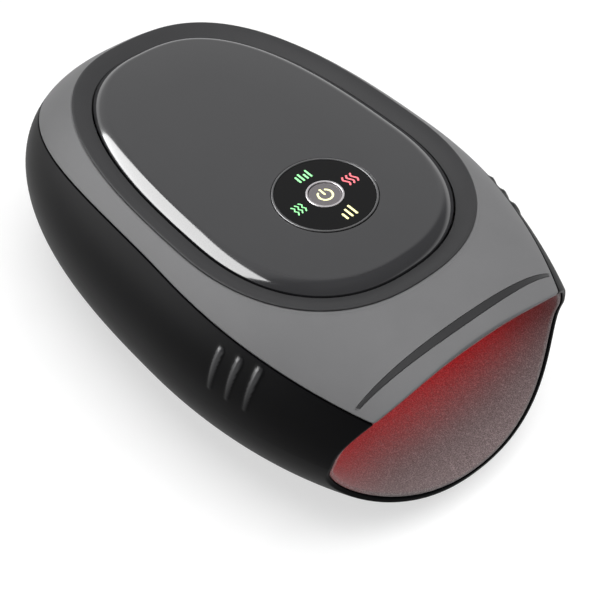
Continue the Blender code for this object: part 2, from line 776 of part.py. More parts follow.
def build_lower_shell(cavity, mouth, trim, wall_clip):
    """The black tub: skirt, mouth lip, ribs, bosses and holes."""
    shell = pebble("lower_shell", 0.0, BASE_Z, SEAT_Z, PARTS, black_gloss())
    cut(shell, parting_block("above_parting", True), cavity, mouth, trim)
    join(shell, *shell_bosses(wall_clip))
    join(shell, *[rib_tool(index, side) for side in (-1, 1) for index in range(RIB_COUNT)])
    cut(shell, *shell_holes())


def strip_prism(name, margin, low, high):
    """An upright crescent: straight behind, bowed to the front, with a margin to fit its groove."""
    half = STRIP_HALF_LENGTH - margin
    xs = [-half + 2 * half * step / STRIP_STEPS for step in range(STRIP_STEPS + 1)]
    front = []
    for x in xs:
        bow = STRIP_BOW * (1 - (x / STRIP_HALF_LENGTH) ** 2)
        front.append((x, STRIP_REAR_Y + margin - STRIP_TIP_WIDTH - bow))
    flat = [(half, STRIP_REAR_Y - margin), (-half, STRIP_REAR_Y - margin)] + front
    return loft_object(name, [[(x, y, z) for x, y in flat] for z in (low, high)], CUTTERS)


def strip_layer(name, margin, depth):
    """The part of the crescent that lies outside a core, which is the body drawn in by a depth."""
    prism = strip_prism(name, margin, PARTING_TOP_Z - PARTING_SAG * 2, SEAT_Z + OVERRUN)
    cut(prism, pebble(f"{name}_core", depth, BASE_Z + STRIP_DEPTH, SEAT_Z + STRIP_DEPTH, CUTTERS))
    return prism


def build_upper_shell(cavity, mouth, trim, wall_clip):
    """The grey cover: dome, visor, flat seat with its opening, strip groove and posts."""
    cover = pebble("upper_shell", 0.0, BASE_Z, SEAT_Z, PARTS, grey_satin())
    cut(cover, parting_block("below_parting", False), cavity, mouth, trim)
    opening = [seat_loop(SEAT_WIDTH, z, RING_SIDES) for z in (PAD_FOOT_Z - OVERRUN / 2, SEAT_Z + OVERRUN)]
    cut(cover, loft_object("seat_opening", opening, CUTTERS))
    cut(cover, strip_layer("strip_groove", 0.0, STRIP_DEPTH))
    for number, (x, y) in enumerate(corners(POST_X, POST_FRONT_Y, POST_REAR_Y)):
        post = upright(f"post_{number}", POST_RADIUS, x, y, POST_FOOT_Z, SEAT_Z + OVERRUN)
        clip(post, wall_clip)
        join(cover, post)
        pilot_top = POST_FOOT_Z + COVER_SCREW_BITE
        low = POST_FOOT_Z - OVERRUN
        cut(cover, upright(f"post_pilot_{number}", SHANK_RADIUS + GAP, x, y, low, pilot_top))


def build_accent_strip():
    """The dark crescent inlay in the front of the cover."""
    strip = strip_layer("accent_strip", GAP, STRIP_DEPTH - GAP)
    collection(CUTTERS).objects.unlink(strip)
    collection(PARTS).objects.link(strip)
    strip.hide_render = False
    strip.display_type = "TEXTURED"
    strip.data.materials.append(dark_grey())
    clip(strip, pebble("strip_face", GAP / 4, BASE_Z, SEAT_Z, CUTTERS))
    cut(strip, parting_block("strip_parting", False))


def build_bezel_ring():
    """The dished ring: a flange on the seat, a crest, a slope down to the pad and a skirt."""
    flange = SEAT_Z + GAP
    outer = RING_INSET
    inner = RING_INSET + RING_WIDTH
    crest = flange + RING_CREST - GAP
    section = [
        (outer, flange),
        (outer, crest - RING_CREST_ROUND / 2),
        (outer + RING_CREST_ROUND / 3, crest - RING_CREST_ROUND / 6),
        (outer + RING_CREST_ROUND, crest),
        (outer + RING_WIDTH * 0.45, crest - RING_DISH_DROP * 0.3),
        (outer + RING_WIDTH * 0.75, crest - RING_DISH_DROP * 0.65),
        (inner, crest - RING_DISH_DROP),
        (inner, SEAT_Z - RING_DEPTH),
        (SEAT_WIDTH + GAP, SEAT_Z - RING_DEPTH),
        (SEAT_WIDTH + GAP, flange),
    ]
    loops = [seat_loop(inset, z, RING_SIDES) for inset, z in section]
    loft_object("bezel_ring", loops, PARTS, dark_grey(), closed=True)


def pad_profile():
    """Insets and heights of the pad's outer skin, from its foot over the shoulder to the flat top."""
    shoulder_shares = (
        (0.0, 0.0),
        (0.03, 0.35),
        (0.1, 0.6),
        (0.24, 0.79),
        (0.45, 0.92),
        (0.72, 0.985),
        (1.0, 1.0),
    )
    rise = PAD_TOP_Z - PAD_CROWN_DROP - PAD_FOOT_Z
    profile = [(PAD_INSET + PAD_SHOULDER * a, PAD_FOOT_Z + rise * b) for a, b in shoulder_shares]
    reach = PAD_INSET + PAD_SHOULDER
    crown_shares = ((0.35, 0.65), (0.7, 0.92), (1.0, 1.0))
    top = PAD_TOP_Z - PAD_CROWN_DROP
    profile += [(reach + PAD_CROWN_REACH * a, top + PAD_CROWN_DROP * b) for a, b in crown_shares]
    return profile


def build_top_pad():
    """The raised pad: a skin with a skirt, a round recess for the panel and four posts for its board."""
    outer = pad_profile()
    under = PAD_TOP_Z - PAD_TOP_THICKNESS
    inner = [
        (outer[-1][0], under),
        (PAD_INSET + PAD_WALL + PAD_SHOULDER * 0.7, under - PAD_CROWN_DROP),
        (PAD_INSET + PAD_WALL + PAD_SHOULDER * 0.1, under - PAD_SHOULDER * 0.45),
        (PAD_INSET + PAD_WALL, PAD_FOOT_Z),
    ]
    loops = [seat_loop(inset, z, RING_SIDES) for inset, z in inner + outer]
    pad = loft_object("top_pad", loops, PARTS, pad_gloss())
    post_low = PANEL_BOARD_TOP_Z + GAP
    post_top = under + PAD_WALL / 2
    for number, (x, y) in enumerate(panel_posts()):
        join(pad, upright(f"panel_post_{number}", PANEL_POST_RADIUS, x, y, post_low, post_top))
    ledge = PAD_TOP_Z - PANEL_RECESS
    above = PAD_TOP_Z + OVERRUN
    recess_radius = PANEL_RADIUS + GAP
    hole_radius = PANEL_RADIUS - PANEL_LEDGE
    recess = upright("panel_recess", recess_radius, 0.0, PANEL_Y, ledge, above, sides=PANEL_SIDES)
    hole = upright("panel_hole", hole_radius, 0.0, PANEL_Y, 0.0, above, sides=PANEL_SIDES)
    cut(pad, recess, hole)
    pilot_low = PANEL_BOARD_TOP_Z - OVERRUN
    pilot_top = PANEL_BOARD_TOP_Z + SCREW_BITE
    for number, (x, y) in enumerate(panel_posts()):
        cut(pad, upright(f"panel_pilot_{number}", SHANK_RADIUS + GAP, x, y, pilot_low, pilot_top))


def panel_posts():
    return [(x, PANEL_Y + y) for x, y in corners(PANEL_POST_REACH, -PANEL_POST_REACH, PANEL_POST_REACH)]


def tube(name, outer, inner, low, high, look, sides=PANEL_SIDES):
    """A flat ring round the panel's axis, as a turned closed profile."""
    loops = []
    for radius, z in ((inner, low), (outer, low), (outer, high), (inner, high)):
        angles = [math.tau * step / sides for step in range(sides)]
        loops.append([(radius * math.cos(a), PANEL_Y + radius * math.sin(a), z) for a in angles])
    return loft_object(name, loops, PARTS, look, closed=True)


def build_panel():
    """Trim ring, lens, button ring and button of the round panel."""
    ledge = PAD_TOP_Z - PANEL_RECESS + GAP
    trim_inner = PANEL_RADIUS - TRIM_WIDTH
    ring_outer = BUTTON_RADIUS + GAP + BUTTON_RING_WALL
    lens_top = PAD_TOP_Z + LENS_STAND
    tube("panel_trim", PANEL_RADIUS, trim_inner, ledge, PAD_TOP_Z + TRIM_STAND, steel())
    tube("panel_lens", trim_inner - GAP, ring_outer + GAP, ledge, lens_top, black_gloss())
    ring_top = PAD_TOP_Z + TRIM_STAND
    tube("button_ring", ring_outer, BUTTON_RADIUS + GAP, ledge - GAP, ring_top, steel(), sides=32)
    flange_top = ledge - GAP * 2
    flange_bottom = flange_top - BUTTON_FLANGE_THICKNESS
    profile = [
        (0.0, lens_top - BUTTON_DISH),
        (BUTTON_RADIUS * 0.6, lens_top - BUTTON_DISH * 0.6),
        (BUTTON_RADIUS - BUTTON_DISH, lens_top),
        (BUTTON_RADIUS, lens_top - BUTTON_DISH),
        (BUTTON_RADIUS, flange_top),
        (BUTTON_RADIUS + BUTTON_FLANGE, flange_top),
        (BUTTON_RADIUS + BUTTON_FLANGE, flange_bottom),
        (0.0, flange_bottom),
    ]
    turned("power_button", profile, Matrix.Translation((0.0, PANEL_Y, 0.0)), dark_grey(), sides=32)
    return flange_bottom


def plate(name, low, high, z, look, holes, sides=SMALL_SIDES):
    """A circuit board with round holes."""
    board = box(name, (*low, z), (*high, z + BOARD_THICKNESS), PARTS, look)
    radius = SHANK_RADIUS + GAP
    for number, (x, y) in enumerate(holes):
        cut(board, upright(f"{name}_hole_{number}", radius, x, y, z - OVERRUN, z + OVERRUN, sides=sides))
    return board


def screw(name, x, y, seat_z, bite, upwards):
    """A pan-head screw whose head stops at a seat, with its shank up or down from there."""
    way = 1 if upwards else -1
    rise = HEAD_HEIGHT * 0.7
    profile = [
        (0.0, HEAD_HEIGHT),
        (HEAD_RADIUS * 0.7, HEAD_HEIGHT),
        (HEAD_RADIUS, rise),
        (HEAD_RADIUS, 0.0),
        (SHANK_RADIUS, 0.0),
        (SHANK_RADIUS, -bite + SHANK_RADIUS / 2),
        (0.0, -bite),
    ]
    turn = Matrix.Rotation(math.pi if upwards else 0.0, 4, "X")
    turned(name, profile, Matrix.Translation((x, y, seat_z - GAP * way)) @ turn, steel())


def build_panel_board(flange_bottom):
    """The board under the pad with its switch, the switch's plunger and four screws."""
    low_z = PANEL_BOARD_TOP_Z - BOARD_THICKNESS
    half = PANEL_BOARD_HALF
    near_corner = (-half, PANEL_Y - half)
    far_corner = (half, PANEL_Y + half)
    plate("panel_board", near_corner, far_corner, low_z, board_green(), panel_posts())
    for number, (x, y) in enumerate(panel_posts()):
        bite = BOARD_THICKNESS + GAP + SCREW_BITE - GAP * 2
        screw(f"panel_screw_{number + 1}", x, y, low_z, bite, True)
    switch_low = PANEL_BOARD_TOP_Z + GAP
    switch_top = switch_low + SWITCH_HEIGHT
    side = SWITCH_HALF
    low = (-side, PANEL_Y - side, switch_low)
    high = (side, PANEL_Y + side, switch_top)
    switch = box("tact_switch", low, high, PARTS, dark_grey())
    bore_low = switch_top - SWITCH_BORE_DEPTH
    cut(switch, upright("switch_bore", PLUNGER_RADIUS + GAP, 0.0, PANEL_Y, bore_low, switch_top + OVERRUN))
    plunger_top = flange_bottom - GAP
    plunger_low = bore_low + BUTTON_TRAVEL + GAP
    finish = white_plastic()
    upright("switch_plunger", PLUNGER_RADIUS, 0.0, PANEL_Y, plunger_low, plunger_top, PARTS, finish)


def lining_outer():
    """Loops of the lining's outside from the mouth to the closed tail."""
    front = WIDEST_Y - FRONT_REACH
    mouth = [mouth_loop(-GAP, y, GRIP_SIDES) for y in (front, LIP_REAR_Y)]
    grip_front = grip_loop(0.0, GRIP_FRONT_Y, GRIP_SIDES)
    blend = []
    for share in (0.25, 0.5, 0.75):
        ease = share * share * (3 - 2 * share)
        blend.append([tuple(Vector(a).lerp(Vector(b), ease)) for a, b in zip(mouth[-1], grip_front)])
    for loop, share in zip(blend, (0.25, 0.5, 0.75)):
        y = LIP_REAR_Y + (GRIP_FRONT_Y - LIP_REAR_Y) * share
        loop[:] = [(x, y, z) for x, _, z in loop]
    grip = [grip_front, grip_loop(0.0, GRIP_REAR_Y, GRIP_SIDES)]
    tail = []
    for degrees in (22, 42, 58, 71, 81):
        angle = math.radians(degrees)
        tail.append(grip_loop(0.0, GRIP_REAR_Y + GRIP_TAIL * math.sin(angle), GRIP_SIDES, math.cos(angle)))
    return mouth + blend + grip + tail


def shrink_loop(loop, wall):
    """Draw a loop in towards its middle by a wall, and back from the tail by the same."""
    middle_z = sum(point[2] for point in loop) / len(loop)
    reach = max(abs(point[0]) for point in loop)
    tall = max(abs(point[2] - middle_z) for point in loop)
    narrow = 1 - wall / reach
    lower = 1 - wall / tall
    return [(x * narrow, y - wall, middle_z + (z - middle_z) * lower) for x, y, z in loop]


def build_lining():
    """The fabric lining: a soft sleeve from the mouth to a closed tail."""
    outer = lining_outer()
    inner = [shrink_loop(loop, LINING_WALL) for loop in outer]
    lining = loft_object("lining", list(reversed(inner)) + outer, PARTS, lining_fabric())
    cut(lining, rim_trim("lining_trim", LINING_SETBACK))


def layer(name, offset, thickness, upwards, sides, front_y, rear_y, look):
    """A soft layer that follows the hand tunnel for some of its sides, thinner at its ends."""
    middle = math.pi / 2 if upwards else -math.pi / 2
    angles = [middle + math.tau / GRIP_SIDES * step for step in range(-sides, sides + 1)]
    loops = []
    taper = min(BAG_END_TAPER, thickness * 2)
    stations = (
        (front_y, BAG_END_THICKNESS_SHARE),
        (front_y + taper, 1.0),
        (rear_y - taper, 1.0),
        (rear_y, BAG_END_THICKNESS_SHARE),
    )
    for y, share in stations:
        near = [layer_point(offset, angle, y) for angle in angles]
        far = [layer_point(offset + thickness * share, angle, y) for angle in reversed(angles)]
        loops.append(near + far)
    return loft_object(name, loops, PARTS, look)


def layer_point(offset, angle, y):
    across = math.cos(angle)
    along = math.sin(angle)
    bulge = (abs(across) ** GRIP_POWER + abs(along) ** GRIP_POWER) ** (-1 / GRIP_POWER)
    x = (GRIP_HALF_WIDTH + offset) * across * bulge
    z = (GRIP_HALF_HEIGHT + offset) * along * bulge
    return (x, y, GRIP_Z + z)


def build_soft_layers():
    """Air bags above and below the hand, and the heating pad under the palm."""
    layer("upper_air_bag", GAP, BAG_THICKNESS, True, BAG_SIDES, BAG_FRONT_Y, BAG_REAR_Y, bag_film())
    heat_front = BAG_FRONT_Y + HEAT_INSET_Y
    heat_rear = BAG_REAR_Y - HEAT_INSET_Y
    heat = material("heat_film", (0.45, 0.2, 0.05), 0.4)
    layer("heat_pad", GAP, HEAT_PAD_THICKNESS, False, HEAT_SIDES, heat_front, heat_rear, heat)
    below = GAP * 2 + HEAT_PAD_THICKNESS
    layer("lower_air_bag", below, BAG_THICKNESS, False, BAG_SIDES, BAG_FRONT_Y, BAG_REAR_Y, bag_film())


def frame_cradles():
    """Notched ribs on the frame that carry the cells and the vibration motor."""
    tools = []
    half = CRADLE_THICKNESS / 2
    for side in (-1, 1):
        for y in (-CRADLE_SPREAD, CRADLE_SPREAD):
            xs = sorted((side * CRADLE_IN_X, side * CRADLE_OUT_X))
            low = (xs[0], y - half, CRADLE_BOTTOM_Z)
            tools.append(box(f"cradle_{side}_{y}", low, (xs[1], y + half, CRADLE_TOP_Z), CUTTERS))
    middle = MOTOR_FRONT_Y + MOTOR_LENGTH / 2
    for y in (middle - MOTOR_CLIP_SPREAD, middle + MOTOR_CLIP_SPREAD):
        low = (MOTOR_CLIP_OUT_X, y - half, MOTOR_Z - MOTOR_CLIP_HALF_HEIGHT)
        high = (MOTOR_CLIP_IN_X, y + half, MOTOR_Z + MOTOR_CLIP_HALF_HEIGHT)
        tools.append(box(f"motor_clip_{y}", low, high, CUTTERS))
    return tools


def frame_lugs():
    """Round lugs on the frame: for the base screws, the cover screws and the main board."""
    tools = []
    lug_low = BOSS_TOP_Z + GAP
    for number, (x, y) in enumerate(corners(BOSS_X, BOSS_FRONT_Y, BOSS_REAR_Y)):
        tools.append(upright(f"base_lug_{number}", LUG_RADIUS, x, y, lug_low, lug_low + LUG_HEIGHT))
    lug_top = POST_FOOT_Z - GAP
    for number, (x, y) in enumerate(corners(POST_X, POST_FRONT_Y, POST_REAR_Y)):
        lug_foot = lug_top - COVER_LUG_HEIGHT
        tools.append(upright(f"cover_lug_{number}", COVER_LUG_RADIUS, x, y, lug_foot, lug_top))
    tunnel_top = GRIP_Z + GRIP_HALF_HEIGHT
    for number, (x, y) in enumerate(main_board_holes()):
        tools.append(upright(f"standoff_{number}", STANDOFF_RADIUS, x, y, tunnel_top, MAIN_BOARD_Z - GAP))
    return tools


def frame_holes():
    """Screw holes in the frame's lugs and the room for what its cradles hold."""
    tools = []
    lug_low = BOSS_TOP_Z + GAP
    shank = SHANK_RADIUS + GAP
    for number, (x, y) in enumerate(corners(BOSS_X, BOSS_FRONT_Y, BOSS_REAR_Y)):
        tools.append(upright(f"base_pilot_{number}", shank, x, y, lug_low - OVERRUN, lug_low + SCREW_BITE))
    lug_top = POST_FOOT_Z - GAP
    for number, (x, y) in enumerate(corners(POST_X, POST_FRONT_Y, POST_REAR_Y)):
        seat = lug_top - COVER_LUG_FLOOR
        low = lug_top - OVERRUN
        tools.append(upright(f"cover_head_room_{number}", HEAD_RADIUS + GAP, x, y, low, seat))
        tools.append(upright(f"cover_shank_hole_{number}", shank, x, y, low, lug_top + GAP))
    for number, (x, y) in enumerate(main_board_holes()):
        low = MAIN_BOARD_Z - GAP - SCREW_BITE
        tools.append(upright(f"main_pilot_{number}", shank, x, y, low, MAIN_BOARD_Z + OVERRUN))
    for side in (-1, 1):
        reach = CELL_LENGTH / 2 + OVERRUN / 4
        start = (side * CELL_X, -reach, CELL_Z)
        end = (side * CELL_X, reach, CELL_Z)
        room = cylinder(f"cell_room_{side}", CELL_RADIUS + GAP, start, end, CUTTERS, sides=CELL_SIDES)
        tools.append(room)
    start = (MOTOR_X, MOTOR_FRONT_Y - OVERRUN / 2, MOTOR_Z)
    end = (MOTOR_X, MOTOR_FRONT_Y + MOTOR_LENGTH + OVERRUN / 2, MOTOR_Z)
    tools.append(cylinder("motor_room", MOTOR_RADIUS + GAP, start, end, CUTTERS, sides=CELL_SIDES))
    return tools


def main_board_holes():
    inset = MAIN_BOARD_HOLE_INSET
    return corners(MAIN_BOARD_HALF_WIDTH - inset, MAIN_BOARD_FRONT_Y + inset, MAIN_BOARD_REAR_Y - inset)


def build_frame():
    """The rigid frame round the hand tunnel, with its lugs and cradles."""
    inner = FRAME_CLEARANCE
    outer = FRAME_CLEARANCE + FRAME_WALL
    loops = [grip_loop(outer, y, FRAME_SIDES) for y in (FRAME_FRONT_Y, FRAME_REAR_Y)]
    frame = loft_object("tunnel_frame", loops, PARTS, white_plastic())
    join(frame, *frame_cradles())
    join(frame, *frame_lugs())
    bore = [grip_loop(inner, y, FRAME_SIDES) for y in (FRAME_FRONT_Y - OVERRUN, FRAME_REAR_Y + OVERRUN)]
    cut(frame, loft_object("frame_bore", bore, CUTTERS))
    cut(frame, *frame_holes())


def build_main_board():
    """The main board with its chips, on the frame's standoffs."""
    low = (-MAIN_BOARD_HALF_WIDTH, MAIN_BOARD_FRONT_Y)
    high = (MAIN_BOARD_HALF_WIDTH, MAIN_BOARD_REAR_Y)
    board = plate("main_board", low, high, MAIN_BOARD_Z, board_green(), main_board_holes())
    top = MAIN_BOARD_Z + BOARD_THICKNESS
    depth = MAIN_BOARD_REAR_Y - MAIN_BOARD_FRONT_Y
    chip_shares = ((-0.35, 0.3, 0.28, 0.14), (0.3, 0.35, 0.2, 0.2), (0.1, 0.75, 0.36, 0.1))
    for number, (x, y, wide, long) in enumerate(chip_shares):
        middle_x = x * MAIN_BOARD_HALF_WIDTH
        middle_y = MAIN_BOARD_FRONT_Y + y * depth
        half_x = wide * MAIN_BOARD_HALF_WIDTH
        half_y = long * depth / 2
        corner_low = (middle_x - half_x, middle_y - half_y, top - BOARD_THICKNESS / 2)
        corner_high = (middle_x + half_x, middle_y + half_y, top + CHIP_HEIGHT)
        join(board, box(f"chip_{number}", corner_low, corner_high, CUTTERS))
    for number, (x, y) in enumerate(main_board_holes()):
        screw(f"board_screw_{number + 1}", x, y, top, BOARD_THICKNESS + SCREW_BITE - GAP, False)


def build_cells():
    """Two battery cells along the frame's shoulders."""
    for name, side in (("left", -1), ("right", 1)):
        half = CELL_LENGTH / 2
        profile = [
            (0.0, half),
            (CELL_TIP_RADIUS, half),
            (CELL_TIP_RADIUS, half - CELL_TIP_LENGTH),
            (CELL_RADIUS, half - CELL_TIP_LENGTH),
            (CELL_RADIUS, -half),
            (0.0, -half),
        ]
        place = Matrix.Translation((side * CELL_X, 0.0, CELL_Z)) @ Matrix.Rotation(math.pi / 2, 4, "X")
        wrap = material("cell_wrap", (0.05, 0.2, 0.45), 0.35)
        turned(f"battery_cell_{name}", profile, place, wrap, sides=CELL_SIDES)


def build_vibration_motor():
    """The small motor on the frame's left, with its eccentric weight on the shaft."""
    rear = MOTOR_FRONT_Y + MOTOR_LENGTH
    start = (MOTOR_X, MOTOR_FRONT_Y, MOTOR_Z)
    end = (MOTOR_X, rear, MOTOR_Z)
    can = cylinder("vibration_motor", MOTOR_RADIUS, start, end, PARTS, steel(), sides=CELL_SIDES)
    seat = (MOTOR_X, MOTOR_FRONT_Y + MOTOR_SHAFT_SEAT, MOTOR_Z)
    before = (MOTOR_X, MOTOR_FRONT_Y - OVERRUN, MOTOR_Z)
    cut(can, cylinder("motor_bearing", MOTOR_SHAFT_RADIUS + GAP, before, seat, CUTTERS))
    weight_rear = MOTOR_FRONT_Y - WEIGHT_STANDOFF
    weight_front = weight_rear - WEIGHT_LENGTH
    axle = bpy.data.objects.new("vibration_axis", None)
    axle.location = (MOTOR_X, weight_front, MOTOR_Z)
    collection(PARTS).objects.link(axle)
    far = (0, WEIGHT_LENGTH, 0)
    disc = cylinder("vibration_weight", WEIGHT_RADIUS, (0, 0, 0), far, PARTS, steel(), sides=CELL_SIDES)
    hub = MOTOR_SHAFT_RADIUS * 2
    reach = WEIGHT_RADIUS + OVERRUN / 4
    cut(disc, box("weight_cut", (-reach, -OVERRUN, hub / 2), (reach, OVERRUN, reach), CUTTERS))
    shaft_end = weight_rear - weight_front + WEIGHT_STANDOFF + MOTOR_SHAFT_SEAT - GAP
    shaft_start = (0, WEIGHT_LENGTH / 2, 0)
    join(disc, cylinder("weight_shaft", MOTOR_SHAFT_RADIUS, shaft_start, (0, shaft_end, 0), CUTTERS))
    disc.parent = axle
    for name in ("weight_cut", "weight_shaft"):
        bpy.data.objects[name].parent = axle


def valve_x():
    """The valve's axis: beside the frame's widest line."""
    return GRIP_HALF_WIDTH + FRAME_CLEARANCE + FRAME_WALL + GAP + VALVE_SIDE / 2


def build_valve():
    """The release valve: an upright block with a bore, a plunger and a return spring under it."""
    x = valve_x()
    half = VALVE_SIDE / 2
    low = (x - half, VALVE_Y - half, VALVE_LOW_Z)
    high = (x + half, VALVE_Y + half, VALVE_LOW_Z + VALVE_LENGTH)
    body = box("valve_body", low, high, PARTS, white_plastic())
    bore_top = VALVE_LOW_Z + VALVE_BORE_DEPTH
    bore_low = VALVE_LOW_Z - OVERRUN
    cut(body, upright("valve_bore", VALVE_PLUNGER_RADIUS + GAP, x, VALVE_Y, bore_low, bore_top))
    spring_low = VALVE_LOW_Z - GAP - VALVE_SPRING_LENGTH
    head_top = spring_low - GAP
    head_low = head_top - VALVE_HEAD_THICKNESS
    reach = VALVE_LOW_Z + VALVE_PLUNGER_DEPTH
    profile = [
        (0.0, reach),
        (VALVE_PLUNGER_RADIUS, reach),
        (VALVE_PLUNGER_RADIUS, head_top),
        (VALVE_HEAD_RADIUS, head_top),
        (VALVE_HEAD_RADIUS, head_low),
        (0.0, head_low),
    ]
    turned("valve_plunger", profile, Matrix.Translation((x, VALVE_Y, 0.0)), steel())
    coil("valve_spring", x, VALVE_Y, spring_low)


def coil(name, x, y, low_z):
    """An upright coil spring, as one poly curve."""
    per_turn = 9
    count = VALVE_SPRING_TURNS * per_turn + 1
    pitch = (VALVE_SPRING_LENGTH - VALVE_WIRE_RADIUS * 2) / (count - 1)
    curve = bpy.data.curves.new(name, "CURVE")
    curve.dimensions = "3D"
    curve.bevel_depth = VALVE_WIRE_RADIUS
    curve.bevel_resolution = 1
    curve.use_fill_caps = True
    line = curve.splines.new("POLY")
    line.points.add(count - 1)
    for step in range(count):
        angle = math.tau * step / per_turn
        across = x + VALVE_SPRING_RADIUS * math.cos(angle)
        along = y + VALVE_SPRING_RADIUS * math.sin(angle)
        line.points[step].co = (across, along, low_z + VALVE_WIRE_RADIUS + pitch * step, 1.0)
    curve.materials.append(steel())
    obj = bpy.data.objects.new(name, curve)
    collection(PARTS).objects.link(obj)


def build_pump():
    """The air pump across the rear: motor can, pump head and the crank that turns in it."""
    motor_start = PUMP_JOINT_X - PUMP_MOTOR_LENGTH
    head_start = PUMP_JOINT_X + GAP
    head_end = head_start + PUMP_HEAD_LENGTH
    can = cylinder(
        "pump_motor",
        PUMP_MOTOR_RADIUS,
        (motor_start, PUMP_Y, PUMP_Z),
        (PUMP_JOINT_X, PUMP_Y, PUMP_Z),
        PARTS,
        steel(),
        sides=CELL_SIDES,
    )
    seat = (PUMP_JOINT_X - PUMP_SHAFT_SEAT, PUMP_Y, PUMP_Z)
    bearing_end = (PUMP_JOINT_X + OVERRUN, PUMP_Y, PUMP_Z)
    cut(can, cylinder("pump_bearing", PUMP_SHAFT_RADIUS + GAP, seat, bearing_end, CUTTERS))
    head = cylinder(
        "pump_head",
        PUMP_HEAD_RADIUS,
        (head_start, PUMP_Y, PUMP_Z),
        (head_end, PUMP_Y, PUMP_Z),
        PARTS,
        white_plastic(),
        sides=CELL_SIDES,
    )
    room_radius = PUMP_HEAD_RADIUS - PUMP_HEAD_WALL
    room_start = (head_start - OVERRUN, PUMP_Y, PUMP_Z)
    room_end = (head_start + CRANK_STANDOFF + CRANK_THICKNESS * 2, PUMP_Y, PUMP_Z)
    cut(head, cylinder("crank_room", room_radius, room_start, room_end, CUTTERS, sides=CELL_SIDES))
    axle = bpy.data.objects.new("pump_axis", None)
    axle.location = (PUMP_JOINT_X, PUMP_Y, PUMP_Z)
    collection(PARTS).objects.link(axle)
    crank_start = GAP + CRANK_STANDOFF
    crank = cylinder(
        "pump_crank",
        CRANK_RADIUS,
        (crank_start, 0, CRANK_THROW),
        (crank_start + CRANK_THICKNESS, 0, CRANK_THROW),
        PARTS,
        steel(),
        sides=CELL_SIDES,
    )
    shaft_start = (GAP - PUMP_SHAFT_SEAT, 0, 0)
    shaft_end = (crank_start + CRANK_THICKNESS / 2, 0, 0)
    shaft = cylinder("crank_shaft", PUMP_SHAFT_RADIUS, shaft_start, shaft_end, CUTTERS)
    join(crank, shaft)
    crank.parent = axle
    shaft.parent = axle


def build_tray(cavity_clip):
    """The tray behind the hand tunnel that carries the pump, with two screws."""
    top = TRAY_Z + TRAY_THICKNESS
    low = (-TRAY_HALF_WIDTH, TRAY_FRONT_Y, TRAY_Z)
    high = (TRAY_HALF_WIDTH, TRAY_REAR_Y, top)
    tray = box("rear_tray", low, high, PARTS, white_plastic())
    half = TRAY_RIB_THICKNESS / 2
    for side in (-1, 1):
        x = side * TRAY_RIB_X
        low = (x - half, TRAY_FRONT_Y + GAP, TRAY_Z + TRAY_THICKNESS / 2)
        join(tray, box(f"tray_rib_{side}", low, (x + half, TRAY_RIB_REAR_Y, PUMP_Z), CUTTERS))
    for name, radius, start, end in (
        ("motor_nest", PUMP_MOTOR_RADIUS, -TRAY_HALF_WIDTH - OVERRUN, 0.0),
        ("head_nest", PUMP_HEAD_RADIUS, 0.0, TRAY_HALF_WIDTH + OVERRUN),
    ):
        places = ((start, PUMP_Y, PUMP_Z), (end, PUMP_Y, PUMP_Z))
        cut(tray, cylinder(name, radius + GAP, *places, CUTTERS, sides=CELL_SIDES))
    clip(tray, cavity_clip)
    for side in (-1, 1):
        x = side * TRAY_POST_X
        hole_low = TRAY_Z - OVERRUN
        hole_top = top + OVERRUN / 8
        cut(tray, upright(f"tray_hole_{side}", SHANK_RADIUS + GAP, x, TRAY_POST_Y, hole_low, hole_top))
    for number, side in enumerate((-1, 1)):
        bite = TRAY_THICKNESS + SCREW_BITE - GAP
        screw(f"tray_screw_{number + 1}", side * TRAY_POST_X, TRAY_POST_Y, top, bite, False)


def smooth_route(points):
    """A route with straight ends and one smooth curve between them, by Catmull-Rom spans."""
    route = [Vector(point) for point in points]
    found = [route[0]]
    for a, b, c, d in zip(route, route[1:], route[2:], route[3:]):
        for step in range(HOSE_STEPS_PER_SPAN):
            t = step / HOSE_STEPS_PER_SPAN
            squared = (a * 2 - b * 5 + c * 4 - d) * t**2
            cubed = (b * 3 - a - c * 3 + d) * t**3
            spot = b * 2 + (c - a) * t + squared + cubed
            found.append(spot / 2)
    return found + route[-2:]


def hose(name, points):
    """An air hose as a poly curve with round ends capped flat."""
    route = smooth_route(points)
    curve = bpy.data.curves.new(name, "CURVE")
    curve.dimensions = "3D"
    curve.bevel_depth = HOSE_RADIUS
    curve.bevel_resolution = 1
    curve.use_fill_caps = True
    line = curve.splines.new("POLY")
    line.points.add(len(route) - 1)
    for point, place in zip(line.points, route):
        point.co = (*place, 1.0)
    curve.materials.append(material("hose_silicone", (0.6, 0.6, 0.58), 0.4))
    obj = bpy.data.objects.new(name, curve)
    collection(PARTS).objects.link(obj)
    return obj


